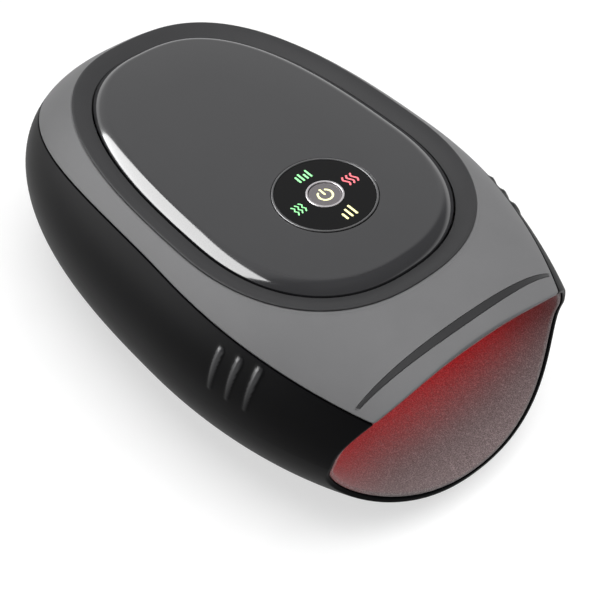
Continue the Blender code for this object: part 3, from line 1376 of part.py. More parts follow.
def build_hoses():
    """Three hoses: pump to upper bag, pump to lower bag and pump to valve."""
    step = HOSE_RADIUS
    bag_rise = GRIP_HALF_HEIGHT + GAP + BAG_THICKNESS * BAG_END_THICKNESS_SHARE / 2
    bag_top_z = GRIP_Z + bag_rise
    bag_low_z = GRIP_Z - bag_rise - GAP - HEAT_PAD_THICKNESS
    bag_end = BAG_REAR_Y + GAP
    head_top = PUMP_Z + PUMP_HEAD_RADIUS + GAP
    out = PUMP_JOINT_X + GAP + PUMP_HEAD_LENGTH + GAP
    hose(
        "upper_hose",
        (
            (HOSE_X, PUMP_Y, head_top),
            (HOSE_X, PUMP_Y, head_top + step * 2),
            (HOSE_X, PUMP_Y - step * 4, bag_top_z + step),
            (HOSE_X, bag_end + step * 9, bag_top_z + step),
            (HOSE_X, bag_end + step * 2, bag_top_z),
            (HOSE_X, bag_end, bag_top_z),
        ),
    )
    hose(
        "lower_hose",
        (
            (out, PUMP_Y, PUMP_Z - step * 2),
            (out + step * 2, PUMP_Y, PUMP_Z - step * 2),
            (out + step * 4.4, PUMP_Y - step * 5, GRIP_Z - step * 7),
            (out + step * 3, bag_end + step * 9.5, bag_low_z + step * 2),
            (HOSE_X + step * 2, bag_end + step * 4, bag_low_z),
            (HOSE_X, bag_end + step * 2, bag_low_z),
            (HOSE_X, bag_end, bag_low_z),
        ),
    )
    valve_rear = VALVE_Y + VALVE_SIDE / 2 + GAP
    hose(
        "valve_hose",
        (
            (valve_x(), valve_rear, VALVE_PORT_Z),
            (valve_x(), valve_rear + step * 3, VALVE_PORT_Z),
            (valve_x() - step / 4, BAG_REAR_Y, VALVE_PORT_Z - step),
            (valve_x() - step * 4, BAG_REAR_Y + step * 10, VALVE_PORT_Z - step * 2),
            (out + step * 5, PUMP_Y - step * 3, PUMP_Z + step * 2),
            (out + step * 2, PUMP_Y, PUMP_Z + step * 2),
            (out, PUMP_Y, PUMP_Z + step * 2),
        ),
    )


def build_socket():
    """The charging socket in the rear wall, its tongue and its board."""
    inner_y = SOCKET_FRONT_Y + SOCKET_WALL * 2
    loops = [
        socket_loop(-SOCKET_WALL, inner_y),
        socket_loop(-SOCKET_WALL, SOCKET_REAR_Y),
        socket_loop(0.0, SOCKET_REAR_Y),
        socket_loop(0.0, SOCKET_FRONT_Y),
    ]
    socket = loft_object("charge_socket", loops, PARTS, steel())
    half = TONGUE_THICKNESS / 2
    low = (-TONGUE_HALF_WIDTH, SOCKET_FRONT_Y + SOCKET_WALL, SOCKET_Z - half)
    high = (TONGUE_HALF_WIDTH, SOCKET_REAR_Y - TONGUE_SETBACK, SOCKET_Z + half)
    join(socket, box("socket_tongue", low, high, CUTTERS))
    board_z = SOCKET_Z - SOCKET_HEIGHT / 2 - GAP - BOARD_THICKNESS
    side = CHARGE_BOARD_HALF_WIDTH
    low = (-side, CHARGE_BOARD_FRONT_Y)
    high = (side, CHARGE_BOARD_REAR_Y)
    plate("charge_board", low, high, board_z, board_green(), [])


def build_fasteners_and_feet():
    """Rubber feet, base screws and cover screws."""
    foot_top = BASE_Z + FOOT_SOCKET - GAP
    for number, (x, y) in enumerate(corners(FOOT_X, FOOT_FRONT_Y, FOOT_REAR_Y)):
        profile = [
            (0.0, foot_top),
            (FOOT_RADIUS, foot_top),
            (FOOT_RADIUS, FOOT_ROUND),
            (FOOT_RADIUS - FOOT_ROUND, 0.0),
            (0.0, 0.0),
        ]
        turned(f"foot_{number + 1}", profile, Matrix.Translation((x, y, 0.0)), rubber(), sides=20)
    base_seat = BASE_Z + BASE_SCREW_SINK + HEAD_HEIGHT + GAP
    base_bite = BOSS_TOP_Z + GAP + SCREW_BITE - base_seat
    for number, (x, y) in enumerate(corners(BOSS_X, BOSS_FRONT_Y, BOSS_REAR_Y)):
        screw(f"base_screw_{number + 1}", x, y, base_seat, base_bite, True)
    cover_seat = POST_FOOT_Z - GAP - COVER_LUG_FLOOR
    for number, (x, y) in enumerate(corners(POST_X, POST_FRONT_Y, POST_REAR_Y)):
        shank = COVER_LUG_FLOOR + COVER_SCREW_BITE - GAP
        screw(f"cover_screw_{number + 1}", x, y, cover_seat, shank, True)


def main():
    clear_scene()
    cavity = body_cavity()
    mouth = mouth_cutter()
    wall_clip = clip_pebble("wall_clip", SHELL_WALL / 2)
    room_clip = clip_pebble("room_clip", SHELL_WALL + GAP)
    trim = rim_trim("rim_trim", 0.0)
    build_lower_shell(cavity, mouth, trim, wall_clip)
    build_upper_shell(cavity, mouth, trim, wall_clip)
    build_accent_strip()
    build_bezel_ring()
    build_top_pad()
    flange_bottom = build_panel()
    build_panel_board(flange_bottom)
    build_lining()
    build_soft_layers()
    build_frame()
    build_main_board()
    build_cells()
    build_vibration_motor()
    build_valve()
    build_pump()
    build_tray(room_clip)
    build_hoses()
    build_socket()
    build_fasteners_and_feet()


main()
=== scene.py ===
"""Looks of the hand massager: fine skins, finishes, lit signs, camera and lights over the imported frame."""

import json
import logging
import math
from collections.abc import Callable, Iterable, Sequence
from dataclasses import dataclass, field, replace
from enum import Enum

import bmesh
import bpy
from mathutils import Matrix, Vector


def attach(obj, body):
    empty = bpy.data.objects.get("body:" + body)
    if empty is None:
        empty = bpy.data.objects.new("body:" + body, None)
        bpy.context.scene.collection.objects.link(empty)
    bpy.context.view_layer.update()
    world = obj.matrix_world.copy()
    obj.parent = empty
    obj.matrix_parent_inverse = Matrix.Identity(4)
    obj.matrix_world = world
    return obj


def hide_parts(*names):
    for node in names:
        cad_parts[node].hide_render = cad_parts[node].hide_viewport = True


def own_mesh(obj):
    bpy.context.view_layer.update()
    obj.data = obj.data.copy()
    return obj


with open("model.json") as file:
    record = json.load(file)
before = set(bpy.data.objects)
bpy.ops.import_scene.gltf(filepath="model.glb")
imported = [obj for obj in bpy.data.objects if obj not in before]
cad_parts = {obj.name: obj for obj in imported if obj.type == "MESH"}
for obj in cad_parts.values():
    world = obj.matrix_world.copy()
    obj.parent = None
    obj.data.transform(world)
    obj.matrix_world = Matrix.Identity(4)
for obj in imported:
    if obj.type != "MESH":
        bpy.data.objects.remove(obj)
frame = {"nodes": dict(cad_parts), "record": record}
log = logging.getLogger("hand_massager")

MM = 0.001
GAP = 0.3 * MM
SNAP = 0.05 * MM
EDGE_STEPS = 8
TUNNEL_SIDES = 32
EDGE_ROOM = 0.3 * MM
SHORTEST = 0.12 * MM
FAR = 1.0 * MM


class Slot(Enum):
    """The record's material slots."""

    TUB = "black_gloss_plastic"
    COVER = "grey_satin_plastic"
    DARK = "dark_grey_plastic"
    PAD = "pad_gloss_plastic"
    TRIM = "trim_metal"
    WHITE = "white_plastic"
    LINING = "lining_fabric"
    BAG = "bag_film"
    HEAT = "heat_film"
    BOARD = "board_laminate"
    SCREW = "screw_steel"
    MOTOR = "motor_steel"
    CELL = "cell_wrap"
    HOSE = "hose_silicone"
    RUBBER = "foot_rubber"


class Side(Enum):
    """The side of the hand tunnel that a soft layer lies on."""

    ROOF = 1
    FLOOR = -1


# Forms of the housing


@dataclass(frozen=True)
class Oval:
    """A flat oval with its own reach and squareness on its low and its high side, in metres."""

    half: float
    low: float
    high: float
    low_power: float
    high_power: float

    def grown(self, by: float) -> "Oval":
        """The same oval with every reach grown by a length."""
        return replace(self, half=self.half + by, low=self.low + by, high=self.high + by)

    def scaled(self, share: float) -> "Oval":
        """The same oval with every reach scaled."""
        return replace(self, half=self.half * share, low=self.low * share, high=self.high * share)

    def side(self, along: float) -> tuple[float, float]:
        """Reach and squareness of the side that a place lies on."""
        return (self.high, self.high_power) if along > 0 else (self.low, self.low_power)

    def point(self, angle: float) -> tuple[float, float]:
        """A point of the outline.

        Args:
            angle: turn from the +X side towards the high side, in radians.

        Returns:
            The place across and along.
        """
        across, along = math.cos(angle), math.sin(angle)
        reach, power = self.side(along)
        bulge = (abs(across) ** power + abs(along) ** power) ** (-1 / power)
        return self.half * across * bulge, reach * along * bulge

    def clearance(self, across: float, along: float) -> float:
        """Distance from the outline along the ray from its middle, negative inside it.

        Args:
            across: place across.
            along: place along.

        Returns:
            The distance.
        """
        reach, power = self.side(along)
        share = ((abs(across) / self.half) ** power + (abs(along) / reach) ** power) ** (1 / power)
        if share < 1e-6:
            return -min(self.half, reach)
        return math.hypot(across, along) * (1 - 1 / share)


def swell(height: float, peak: float, power: float) -> float:
    """Share of the widest size left at a height on a profile that closes at its peak."""
    return (1 - min(height / peak, 1.0) ** power) ** (1 / power)


def smoothstep(low: float, high: float, value: float) -> float:
    """A soft step from 0 at low to 1 at high."""
    share = min(max((value - low) / (high - low), 0.0), 1.0)
    return share * share * (3 - 2 * share)


@dataclass(frozen=True)
class BodyForm:
    """The housing's outer form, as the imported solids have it."""

    widest: Oval = Oval(0.0757, 0.1343, 0.1369, 2.01, 2.6)
    middle_y: float = -0.0169
    widest_z: float = 0.0506
    side_rise: float = 0.0546
    nose_rise: float = 0.0512
    tail_rise: float = 0.0674
    keel_drop: float = 0.0545
    side_power: float = 2.25
    nose_power: float = 1.525
    tail_power: float = 1.93
    keel_power: float = 2.043
    top_front_power: float = 2.34
    base_z: float = 0.002
    seat_z: float = 0.0894

    def level(self, z: float) -> Oval:
        """The outline at a height.

        Args:
            z: the height.

        Returns:
            The outline there.
        """
        wide = self.widest
        if z <= self.widest_z:
            return wide.scaled(swell(self.widest_z - z, self.keel_drop, self.keel_power))
        lift = z - self.widest_z
        climb = lift / (self.seat_z - self.widest_z)
        return Oval(
            wide.half * swell(lift, self.side_rise, self.side_power),
            wide.low * swell(lift, self.nose_rise, self.nose_power),
            wide.high * swell(lift, self.tail_rise, self.tail_power),
            wide.low_power + (self.top_front_power - wide.low_power) * climb**2,
            wide.high_power,
        )

    def place(self, oval: Oval, angle: float, z: float) -> Vector:
        """A point of an outline that lies about the body's middle."""
        x, y = oval.point(angle)
        return Vector((x, self.middle_y + y, z))

    def seat(self, inset: float) -> Oval:
        """The outline of the flat seat under the ring, drawn in by an inset."""
        return self.level(self.seat_z).grown(-inset)

    def nose_y(self, x: float, z: float) -> float:
        """Where the front surface lies at a place across and a height."""
        oval = self.level(z)
        return self.middle_y - oval.low * swell(abs(x), oval.half, oval.low_power)

    def top_z(self, x: float, y: float) -> float:
        """Height of the front surface above its widest level, found by halving.

        Args:
            x: place across.
            y: place along.

        Returns:
            The height.
        """
        low, high = self.widest_z, self.widest_z + self.nose_rise
        for _ in range(40):
            middle = (low + high) / 2
            if self.nose_y(x, middle) < y:
                low = middle
            else:
                high = middle
        return low


@dataclass(frozen=True)
class Parting:
    """The arched parting line between the black tub and the grey cover."""

    top_z: float = 0.0834
    peak_y: float = 0.003
    sag: float = 0.0118
    sag_reach: float = 0.103

    def height(self, y: float) -> float:
        """Height of the line at a place along the body."""
        return self.top_z - self.sag * ((y - self.peak_y) / self.sag_reach) ** 2


@dataclass(frozen=True)
class Mouth:
    """The hand's mouth in the front and the tunnel behind it."""

    opening: Oval = Oval(0.0576, 0.0309, 0.0319, 1.94, 2.25)
    middle_z: float = 0.047
    rim_wall: float = 0.0017
    rim_room: float = 0.4 * MM
    rim_band: float = 0.2 * MM
    lip_rear_y: float = -0.092
    grip: Oval = Oval(0.05, 0.025, 0.025, 2.2, 2.2)
    grip_z: float = 0.043
    grip_front_y: float = -0.062
    grip_rear_y: float = 0.048
    tail_reach: float = 0.025

    def clearance(self, place: Vector) -> float:
        """Distance of a place from the mouth's outline, seen from the front."""
        return self.opening.clearance(place.x, place.z - self.middle_z)

    def skin_room(self, place: Vector) -> float:
        """Distance from the line where the rim starts, on the front half of the body's skin."""
        return FAR if place.y > BODY.middle_y else self.clearance(place) - self.rim_wall - self.rim_room

    def at_rim(self, place: Vector) -> bool:
        """Whether a place on the body's skin lies at the rim."""
        return self.skin_room(place) < self.rim_band

    def section(self, angle: float, y: float, grow: float) -> Vector:
        """A point of the mouth's or the tunnel's section at a depth.

        Args:
            angle: turn from the +X side towards the roof, in radians.
            y: depth of the section.
            grow: how far the section is grown.

        Returns:
            The point in the row frame.
        """
        x, z = self.opening.grown(grow).point(angle)
        wide = Vector((x, y, self.middle_z + z))
        share = smoothstep(self.lip_rear_y, self.grip_front_y, y)
        if share == 0.0:
            return wide
        scale = 1.0
        if y > self.grip_rear_y:
            scale = math.sqrt(max(1 - ((y - self.grip_rear_y) / self.tail_reach) ** 2, 0.0))
        x, z = self.grip.grown(grow).scaled(scale).point(angle)
        return wide.lerp(Vector((x, y, self.grip_z + z)), share)


BODY = BodyForm()
PARTING = Parting()
MOUTH = Mouth()


# Mesh tools


def extruded(
    mesh: bmesh.types.BMesh, edges: Iterable[bmesh.types.BMEdge]
) -> tuple[list[bmesh.types.BMEdge], dict[bmesh.types.BMVert, bmesh.types.BMVert]]:
    """Extrude a line of edges in place.

    Args:
        mesh: the mesh that has them.
        edges: the line's edges.

    Returns:
        The new edges, and which new vertex follows each old one.
    """
    made = bmesh.ops.extrude_edge_only(mesh, edges=list(edges))["geom"]
    fresh = {item for item in made if isinstance(item, bmesh.types.BMVert)}
    follow = {}
    for vert in fresh:
        for edge in vert.link_edges:
            other = edge.other_vert(vert)
            if other not in fresh:
                follow[other] = vert
    lines = [item for item in made if isinstance(item, bmesh.types.BMEdge)]
    return [edge for edge in lines if edge.verts[0] in fresh and edge.verts[1] in fresh], follow


def loft(
    mesh: bmesh.types.BMesh, rows: Sequence[Sequence[Vector]], ring: bool = True
) -> list[list[bmesh.types.BMVert]]:
    """Lay out the first row of points and extrude it to each next row.

    Args:
        mesh: the mesh to add to.
        rows: rows of points, all of one length.
        ring: whether each row closes on itself.

    Returns:
        The rows of vertices.
    """
    if ring:
        verts = list(bmesh.ops.create_circle(mesh, segments=len(rows[0]), radius=1.0)["verts"])
        edges = list({edge for vert in verts for edge in vert.link_edges})
    else:
        verts = [mesh.verts.new(place) for place in rows[0]]
        edges = [mesh.edges.new(pair) for pair in zip(verts, verts[1:])]
    laid = [verts]
    for vert, place in zip(verts, rows[0]):
        vert.co = place
    for row in rows[1:]:
        edges, follow = extruded(mesh, edges)
        verts = [follow[vert] for vert in verts]
        for vert, place in zip(verts, row):
            vert.co = place
        laid.append(verts)
    return laid


def pole(mesh: bmesh.types.BMesh, row: Sequence[bmesh.types.BMVert], place: Vector) -> None:
    """Close a row of vertices to one point."""
    bmesh.ops.pointmerge(mesh, verts=list(row), merge_co=place)


def join_rows(mesh: bmesh.types.BMesh, last: Sequence, first: Sequence) -> None:
    """Weld a loft's last row onto its first one."""
    bmesh.ops.weld_verts(mesh, targetmap=dict(zip(last, first)))


def spun(
    profile: Sequence[tuple[float, float]], centre: Vector, steps: int = 96, closed: bool = False
) -> bmesh.types.BMesh:
    """Turn a profile of (radius, height) once round an upright axis.

    Args:
        profile: the points, in metres.
        centre: where the axis stands.
        steps: parts of the turn.
        closed: whether the profile ends where it starts.

    Returns:
        The turned mesh.
    """
    mesh = bmesh.new()
    verts = [mesh.verts.new(centre + Vector((radius, 0, z))) for radius, z in profile]
    pairs = list(zip(verts, verts[1:]))
    if closed:
        pairs.append((verts[-1], verts[0]))
    edges = [mesh.edges.new(pair) for pair in pairs]
    bmesh.ops.spin(
        mesh,
        geom=verts + edges,
        cent=centre,
        axis=(0, 0, 1),
        angle=math.tau,
        steps=steps,
        use_merge=True,
    )
    bmesh.ops.remove_doubles(mesh, verts=mesh.verts[:], dist=1e-6)
    return mesh


def rounded(
    corners: Sequence[tuple[float, float, float]], steps: int = 4
) -> list[tuple[float, float]]:
    """Round the corners of an open profile.

    Args:
        corners: (radius or inset, height, rounding) of each corner.
        steps: points on each rounding beyond its first one.

    Returns:
        The profile's points.
    """
    points = []
    for index, (across, up, size) in enumerate(corners):
        here = Vector((across, up))
        if size == 0.0 or index in (0, len(corners) - 1):
            points.append((across, up))
            continue
        before = Vector(corners[index - 1][:2]) - here
        after = Vector(corners[index + 1][:2]) - here
        start = here + before.normalized() * min(size, before.length * 0.49)
        end = here + after.normalized() * min(size, after.length * 0.49)
        for step in range(steps + 1):
            share = step / steps
            place = start.lerp(here, share).lerp(here.lerp(end, share), share)
            points.append((place.x, place.y))
    return points


def crossing(level: Callable[[Vector], float], start: Vector, end: Vector, first: float) -> float:
    """Share of the way from start to end where a level passes through zero.

    Args:
        level: signed distance of a place from the cut.
        start: one end.
        end: the other end.
        first: the level at the start.

    Returns:
        The share, from 0 to 1.
    """
    low, high = 0.0, 1.0
    for _ in range(14):
        middle = (low + high) / 2
        if level(start.lerp(end, middle)) * first > 0:
            low = middle
        else:
            high = middle
    return (low + high) / 2


@dataclass
class Skin:
    """An open outer skin that is trimmed along clean lines and then gets a wall with rolled edges."""

    rows: Sequence[Sequence[Vector]]
    ring: bool = True
    mark: str = ""
    mesh: bmesh.types.BMesh = field(init=False)
    laid: list = field(init=False)
    normals: dict = field(init=False, default_factory=dict)

    def __post_init__(self) -> None:
        """Loft the rows."""
        self.mesh = bmesh.new()
        if self.mark:
            self.mesh.verts.layers.float.new(self.mark)
        self.laid = loft(self.mesh, self.rows, self.ring)

    def face_up(self, inside: Vector) -> None:
        """Turn all faces away from a place inside the skin, and keep each vertex's direction as it is now.

        Args:
            inside: a place inside the skin.
        """
        bmesh.ops.recalc_face_normals(self.mesh, faces=self.mesh.faces[:])
        self.mesh.normal_update()
        tally = sum(face.normal.dot(face.calc_center_median() - inside) for face in self.mesh.faces)
        if tally < 0:
            bmesh.ops.reverse_faces(self.mesh, faces=self.mesh.faces[:])
        self.mesh.normal_update()
        self.normals = {vert: vert.normal.copy() for vert in self.mesh.verts}

    def trim(self, level: Callable[[Vector], float]) -> None:
        """Cut the skin where a level is zero and drop the side below zero.

        Args:
            level: signed distance of a place from the cut, above zero where the skin stays.
        """
        mesh = self.mesh
        depth = {vert: level(vert.co) for vert in mesh.verts}
        for edge in list(mesh.edges):
            first, second = edge.verts
            if depth[first] * depth[second] >= 0:
                continue
            share = crossing(level, first.co, second.co, depth[first])
            place = first.co.lerp(second.co, share)
            if (place - first.co).length < SNAP:
                vert = first
            elif (place - second.co).length < SNAP:
                vert = second
            else:
                vert = bmesh.utils.edge_split(edge, first, share)[1]
                self.normals[vert] = self.normals[first].lerp(self.normals[second], share).normalized()
            vert.co = place
            depth[vert] = 0.0
        sides = {face: [depth[vert] for vert in face.verts] for face in mesh.faces}
        mixed = [face for face, depths in sides.items() if min(depths) < 0 < max(depths)]
        ends = {vert for face in mixed for vert in face.verts if depth[vert] == 0.0}
        bmesh.ops.connect_verts(mesh, verts=list(ends))
        gone = [face for face in mesh.faces if sum(depth[vert] for vert in face.verts) < 0]
        bmesh.ops.delete(mesh, geom=gone, context="FACES")

    def outwards(self) -> dict[bmesh.types.BMVert, Vector]:
        """Direction along the skin, away from it, at each vertex of its edges.

        Returns:
            The direction, of length 1, by vertex.
        """
        way = {}
        for edge in self.mesh.edges:
            if not edge.is_boundary:
                continue
            loop = edge.link_loops[0]
            first, second = loop.vert, loop.link_loop_next.vert
            side = (second.co - first.co).cross(self.normals[first] + self.normals[second])
            for vert in edge.verts:
                way[vert] = way.get(vert, Vector()) + side
        for vert, side in way.items():
            side -= self.normals[vert] * side.dot(self.normals[vert])
            side.normalize()
        return way

    def close(self, wall: float, edge_path: Callable[[Vector, Vector, Vector], list[Vector]]) -> None:
        """Give the skin an inner face and carry its edges round to it.

        Args:
            wall: the wall's thickness.
            edge_path: gives the EDGE_STEPS points of the way in, from a place, its normal and outward side.
        """
        mesh = self.mesh
        # Of near vertices the first one is kept, so their order by place gives the same edge in each run.
        line = sorted((vert for vert in mesh.verts if vert.is_boundary), key=lambda vert: vert.co[:])
        bmesh.ops.remove_doubles(mesh, verts=line, dist=SHORTEST)
        way = self.outwards()
        verts = mesh.verts[:]
        edges = [edge for edge in mesh.edges if edge.is_boundary]
        paths = {vert: edge_path(vert.co, self.normals[vert], side) for vert, side in way.items()}
        shift = {vert: self.normals[vert] * wall for vert in verts}
        copy = bmesh.ops.duplicate(mesh, geom=verts + mesh.edges[:] + mesh.faces[:])
        inner = {vert: copy["vert_map"][vert] for vert in verts}
        for vert, twin in inner.items():
            twin.co = vert.co - shift[vert]
        faces = [item for item in copy["geom"] if isinstance(item, bmesh.types.BMFace)]
        bmesh.ops.reverse_faces(mesh, faces=faces)
        front = {vert: vert for vert in paths}
        for step in range(EDGE_STEPS):
            edges, follow = extruded(mesh, edges)
            front = {vert: follow[lead] for vert, lead in front.items()}
            for vert, lead in front.items():
                lead.co = paths[vert][step]
        edges, follow = extruded(mesh, edges)
        bmesh.ops.weld_verts(mesh, targetmap={follow[lead]: inner[vert] for vert, lead in front.items()})
        bmesh.ops.recalc_face_normals(mesh, faces=mesh.faces[:])


def even_weights(data: bpy.types.Mesh) -> None:
    """Let each vertex normal follow its largest faces, so that narrow strips don't bend the light.

    Args:
        data: the piece's mesh.
    """
    normals = [Vector() for _ in data.vertices]
    for polygon in data.polygons:
        lean = polygon.normal * polygon.area
        for index in polygon.vertices:
            normals[index] += lean
    data.normals_split_custom_set_from_vertices([normal.normalized() for normal in normals])


# Edges


@dataclass(frozen=True)
class RolledEdge:
    """A plain wall end: a small rounding and then straight in."""

    radius: float = 0.35 * MM
    wall: float = 1.6 * MM

    def path(self, place: Vector, normal: Vector, side: Vector) -> list[Vector]:
        """The points from the skin's edge to just before its inner face.

        Args:
            place: a point of the skin's edge.
            normal: the skin's direction there.
            side: the direction away from the skin there.

        Returns:
            The points, EDGE_STEPS of them.
        """
        points = []
        half = EDGE_STEPS // 2
        for step in range(1, half + 1):
            turn = math.pi / 2 * step / half
            sink = self.radius * (1 - math.cos(turn))
            points.append(place + side * self.radius * math.sin(turn) - normal * sink)
        for step in range(1, half + 1):
            depth = self.radius + (self.wall - self.radius * 2) * step / half
            points.append(place + side * self.radius - normal * depth)
        return points


def bent(start: Vector, corner: Vector, end: Vector, steps: int) -> list[Vector]:
    """Points of a rounding from start to end, drawn towards a corner, without the start."""
    shares = [step / steps for step in range(1, steps + 1)]
    return [start.lerp(corner, share).lerp(corner.lerp(end, share), share) for share in shares]


@dataclass(frozen=True)
class RimEdge:
    """The mouth's rim: a narrow blunt lip that turns in and runs back as a sleeve."""

    setback: float = 0.45 * MM
    inner_round: float = 0.4 * MM
    sleeve_wall: float = 1.2 * MM

    def path(self, place: Vector, normal: Vector, side: Vector) -> list[Vector]:
        """The points from the skin over the lip and back along the sleeve.

        Args:
            place: a point of the skin's edge.
            normal: the skin's direction there.
            side: the direction away from the skin there.

        Returns:
            The points, EDGE_STEPS of them.
        """
        centre = Vector((0.0, 0.0, MOUTH.middle_z))
        ray = Vector((place.x, 0.0, place.z - MOUTH.middle_z)).normalized()
        reach = math.hypot(place.x, place.z - MOUTH.middle_z) - MOUTH.clearance(place)
        rim = centre + ray * (reach + MOUTH.rim_wall)
        rim.y = BODY.nose_y(rim.x, rim.z)
        lip = centre + ray * reach
        lip.y = rim.y
        back = Vector((0.0, 1.0, 0.0))
        flat_start = rim - ray * self.setback
        flat_end = lip + ray * self.inner_round
        points = bent(place, rim, flat_start, 3)
        points += [flat_end]
        points += bent(flat_end, lip, lip + back * self.inner_round, 2)
        rear = Vector((lip.x, MOUTH.lip_rear_y, lip.z))
        points += [rear, rear + ray * self.sleeve_wall]
        return points


@dataclass(frozen=True)
class SeatEdge:
    """The cover's top: a small rounding onto the flat seat, which ends at the ring's opening."""

    radius: float = 0.3 * MM
    width: float = 4.0 * MM
    thickness: float = 1.6 * MM

    def path(self, place: Vector, normal: Vector, side: Vector) -> list[Vector]:
        """The points from the skin over the seat to its under side.

        Args:
            place: a point of the skin's edge.
            normal: the skin's direction there.
            side: the direction away from the skin there.

        Returns:
            The points, EDGE_STEPS of them.
        """
        inwards = Vector((side.x, side.y, 0.0)).normalized()
        corner = Vector((place.x, place.y, BODY.seat_z)) + inwards * self.radius * 0.5
        points = bent(place, corner, corner + inwards * self.radius, 3)
        edge = corner + inwards * (self.width - self.radius)
        points += [corner.lerp(edge, 0.5), edge]
        drop = Vector((0.0, 0.0, -1.0))
        points += [edge + drop * self.radius + inwards * self.radius]
        points += [edge + drop * self.thickness, corner + (drop + inwards * 2) * self.thickness]
        return points


@dataclass(frozen=True)
class RecessEdge:
    """The pad's round recess: a small rounding, a wall down to the ledge and the ledge itself."""

    radius: float = 0.25 * MM
    depth: float = 1.3 * MM
    ledge: float = 2.0 * MM
    thickness: float = 0.7 * MM

    def path(self, place: Vector, normal: Vector, side: Vector) -> list[Vector]:
        """The points from the pad's top over the ledge to its under side.

        Args:
            place: a point of the skin's edge.
            normal: the skin's direction there.
            side: the direction away from the skin there.

        Returns:
            The points, EDGE_STEPS of them.
        """
        inwards = Vector((side.x, side.y, 0.0)).normalized()
        drop = Vector((0.0, 0.0, -1.0))
        corner = place + inwards * self.radius
        points = bent(place, corner, corner + drop * self.radius, 3)
        foot = corner + drop * self.depth
        inner = foot + inwards * self.ledge
        points += [foot + drop * -self.radius * 0.5, foot + inwards * self.radius * 0.5, inner]
        points += [inner + drop * self.thickness, foot + drop * self.thickness]
        return points


# Finishes


def linear(code: str) -> tuple[float, float, float, float]:
    """An sRGB hex code as linear colour with full alpha.

    Args:
        code: the hex code, with its hash mark.

    Returns:
        Red, green, blue and alpha.
    """
    parts = [int(code[place : place + 2], 16) / 255 for place in (1, 3, 5)]
    light = [part / 12.92 if part <= 0.04045 else ((part + 0.055) / 1.055) ** 2.4 for part in parts]
    return (*light, 1.0)


def add_node(
    tree: bpy.types.NodeTree, kind: str, sockets: dict | None = None, **settings
) -> bpy.types.Node:
    """Add a shader node with its settings, and fill its sockets with values or links.

    Args:
        tree: the material's node tree.
        kind: the node's type.
        sockets: value or output socket for each input, by its name or number.
        settings: properties of the node itself.

    Returns:
        The node.
    """
    node = tree.nodes.new(kind)
    for name, value in settings.items():
        setattr(node, name, value)
    for name, value in (sockets or {}).items():
        if isinstance(value, bpy.types.NodeSocket):
            tree.links.new(value, node.inputs[name])
        else:
            node.inputs[name].default_value = value
    return node


def seen_rays(tree: bpy.types.NodeTree) -> bpy.types.NodeSocket:
    """1 where a ray comes from the camera, a mirror or glass, and 0 where it only carries light.

    Args:
        tree: the material's node tree.

    Returns:
        The socket that says it.
    """
    ray = add_node(tree, "ShaderNodeLightPath").outputs
    seen = ray["Is Camera Ray"]
    for kind in ("Is Glossy Ray", "Is Transmission Ray"):
        seen = add_node(tree, "ShaderNodeMath", {0: seen, 1: ray[kind]}, operation="MAXIMUM").outputs[0]
    return seen


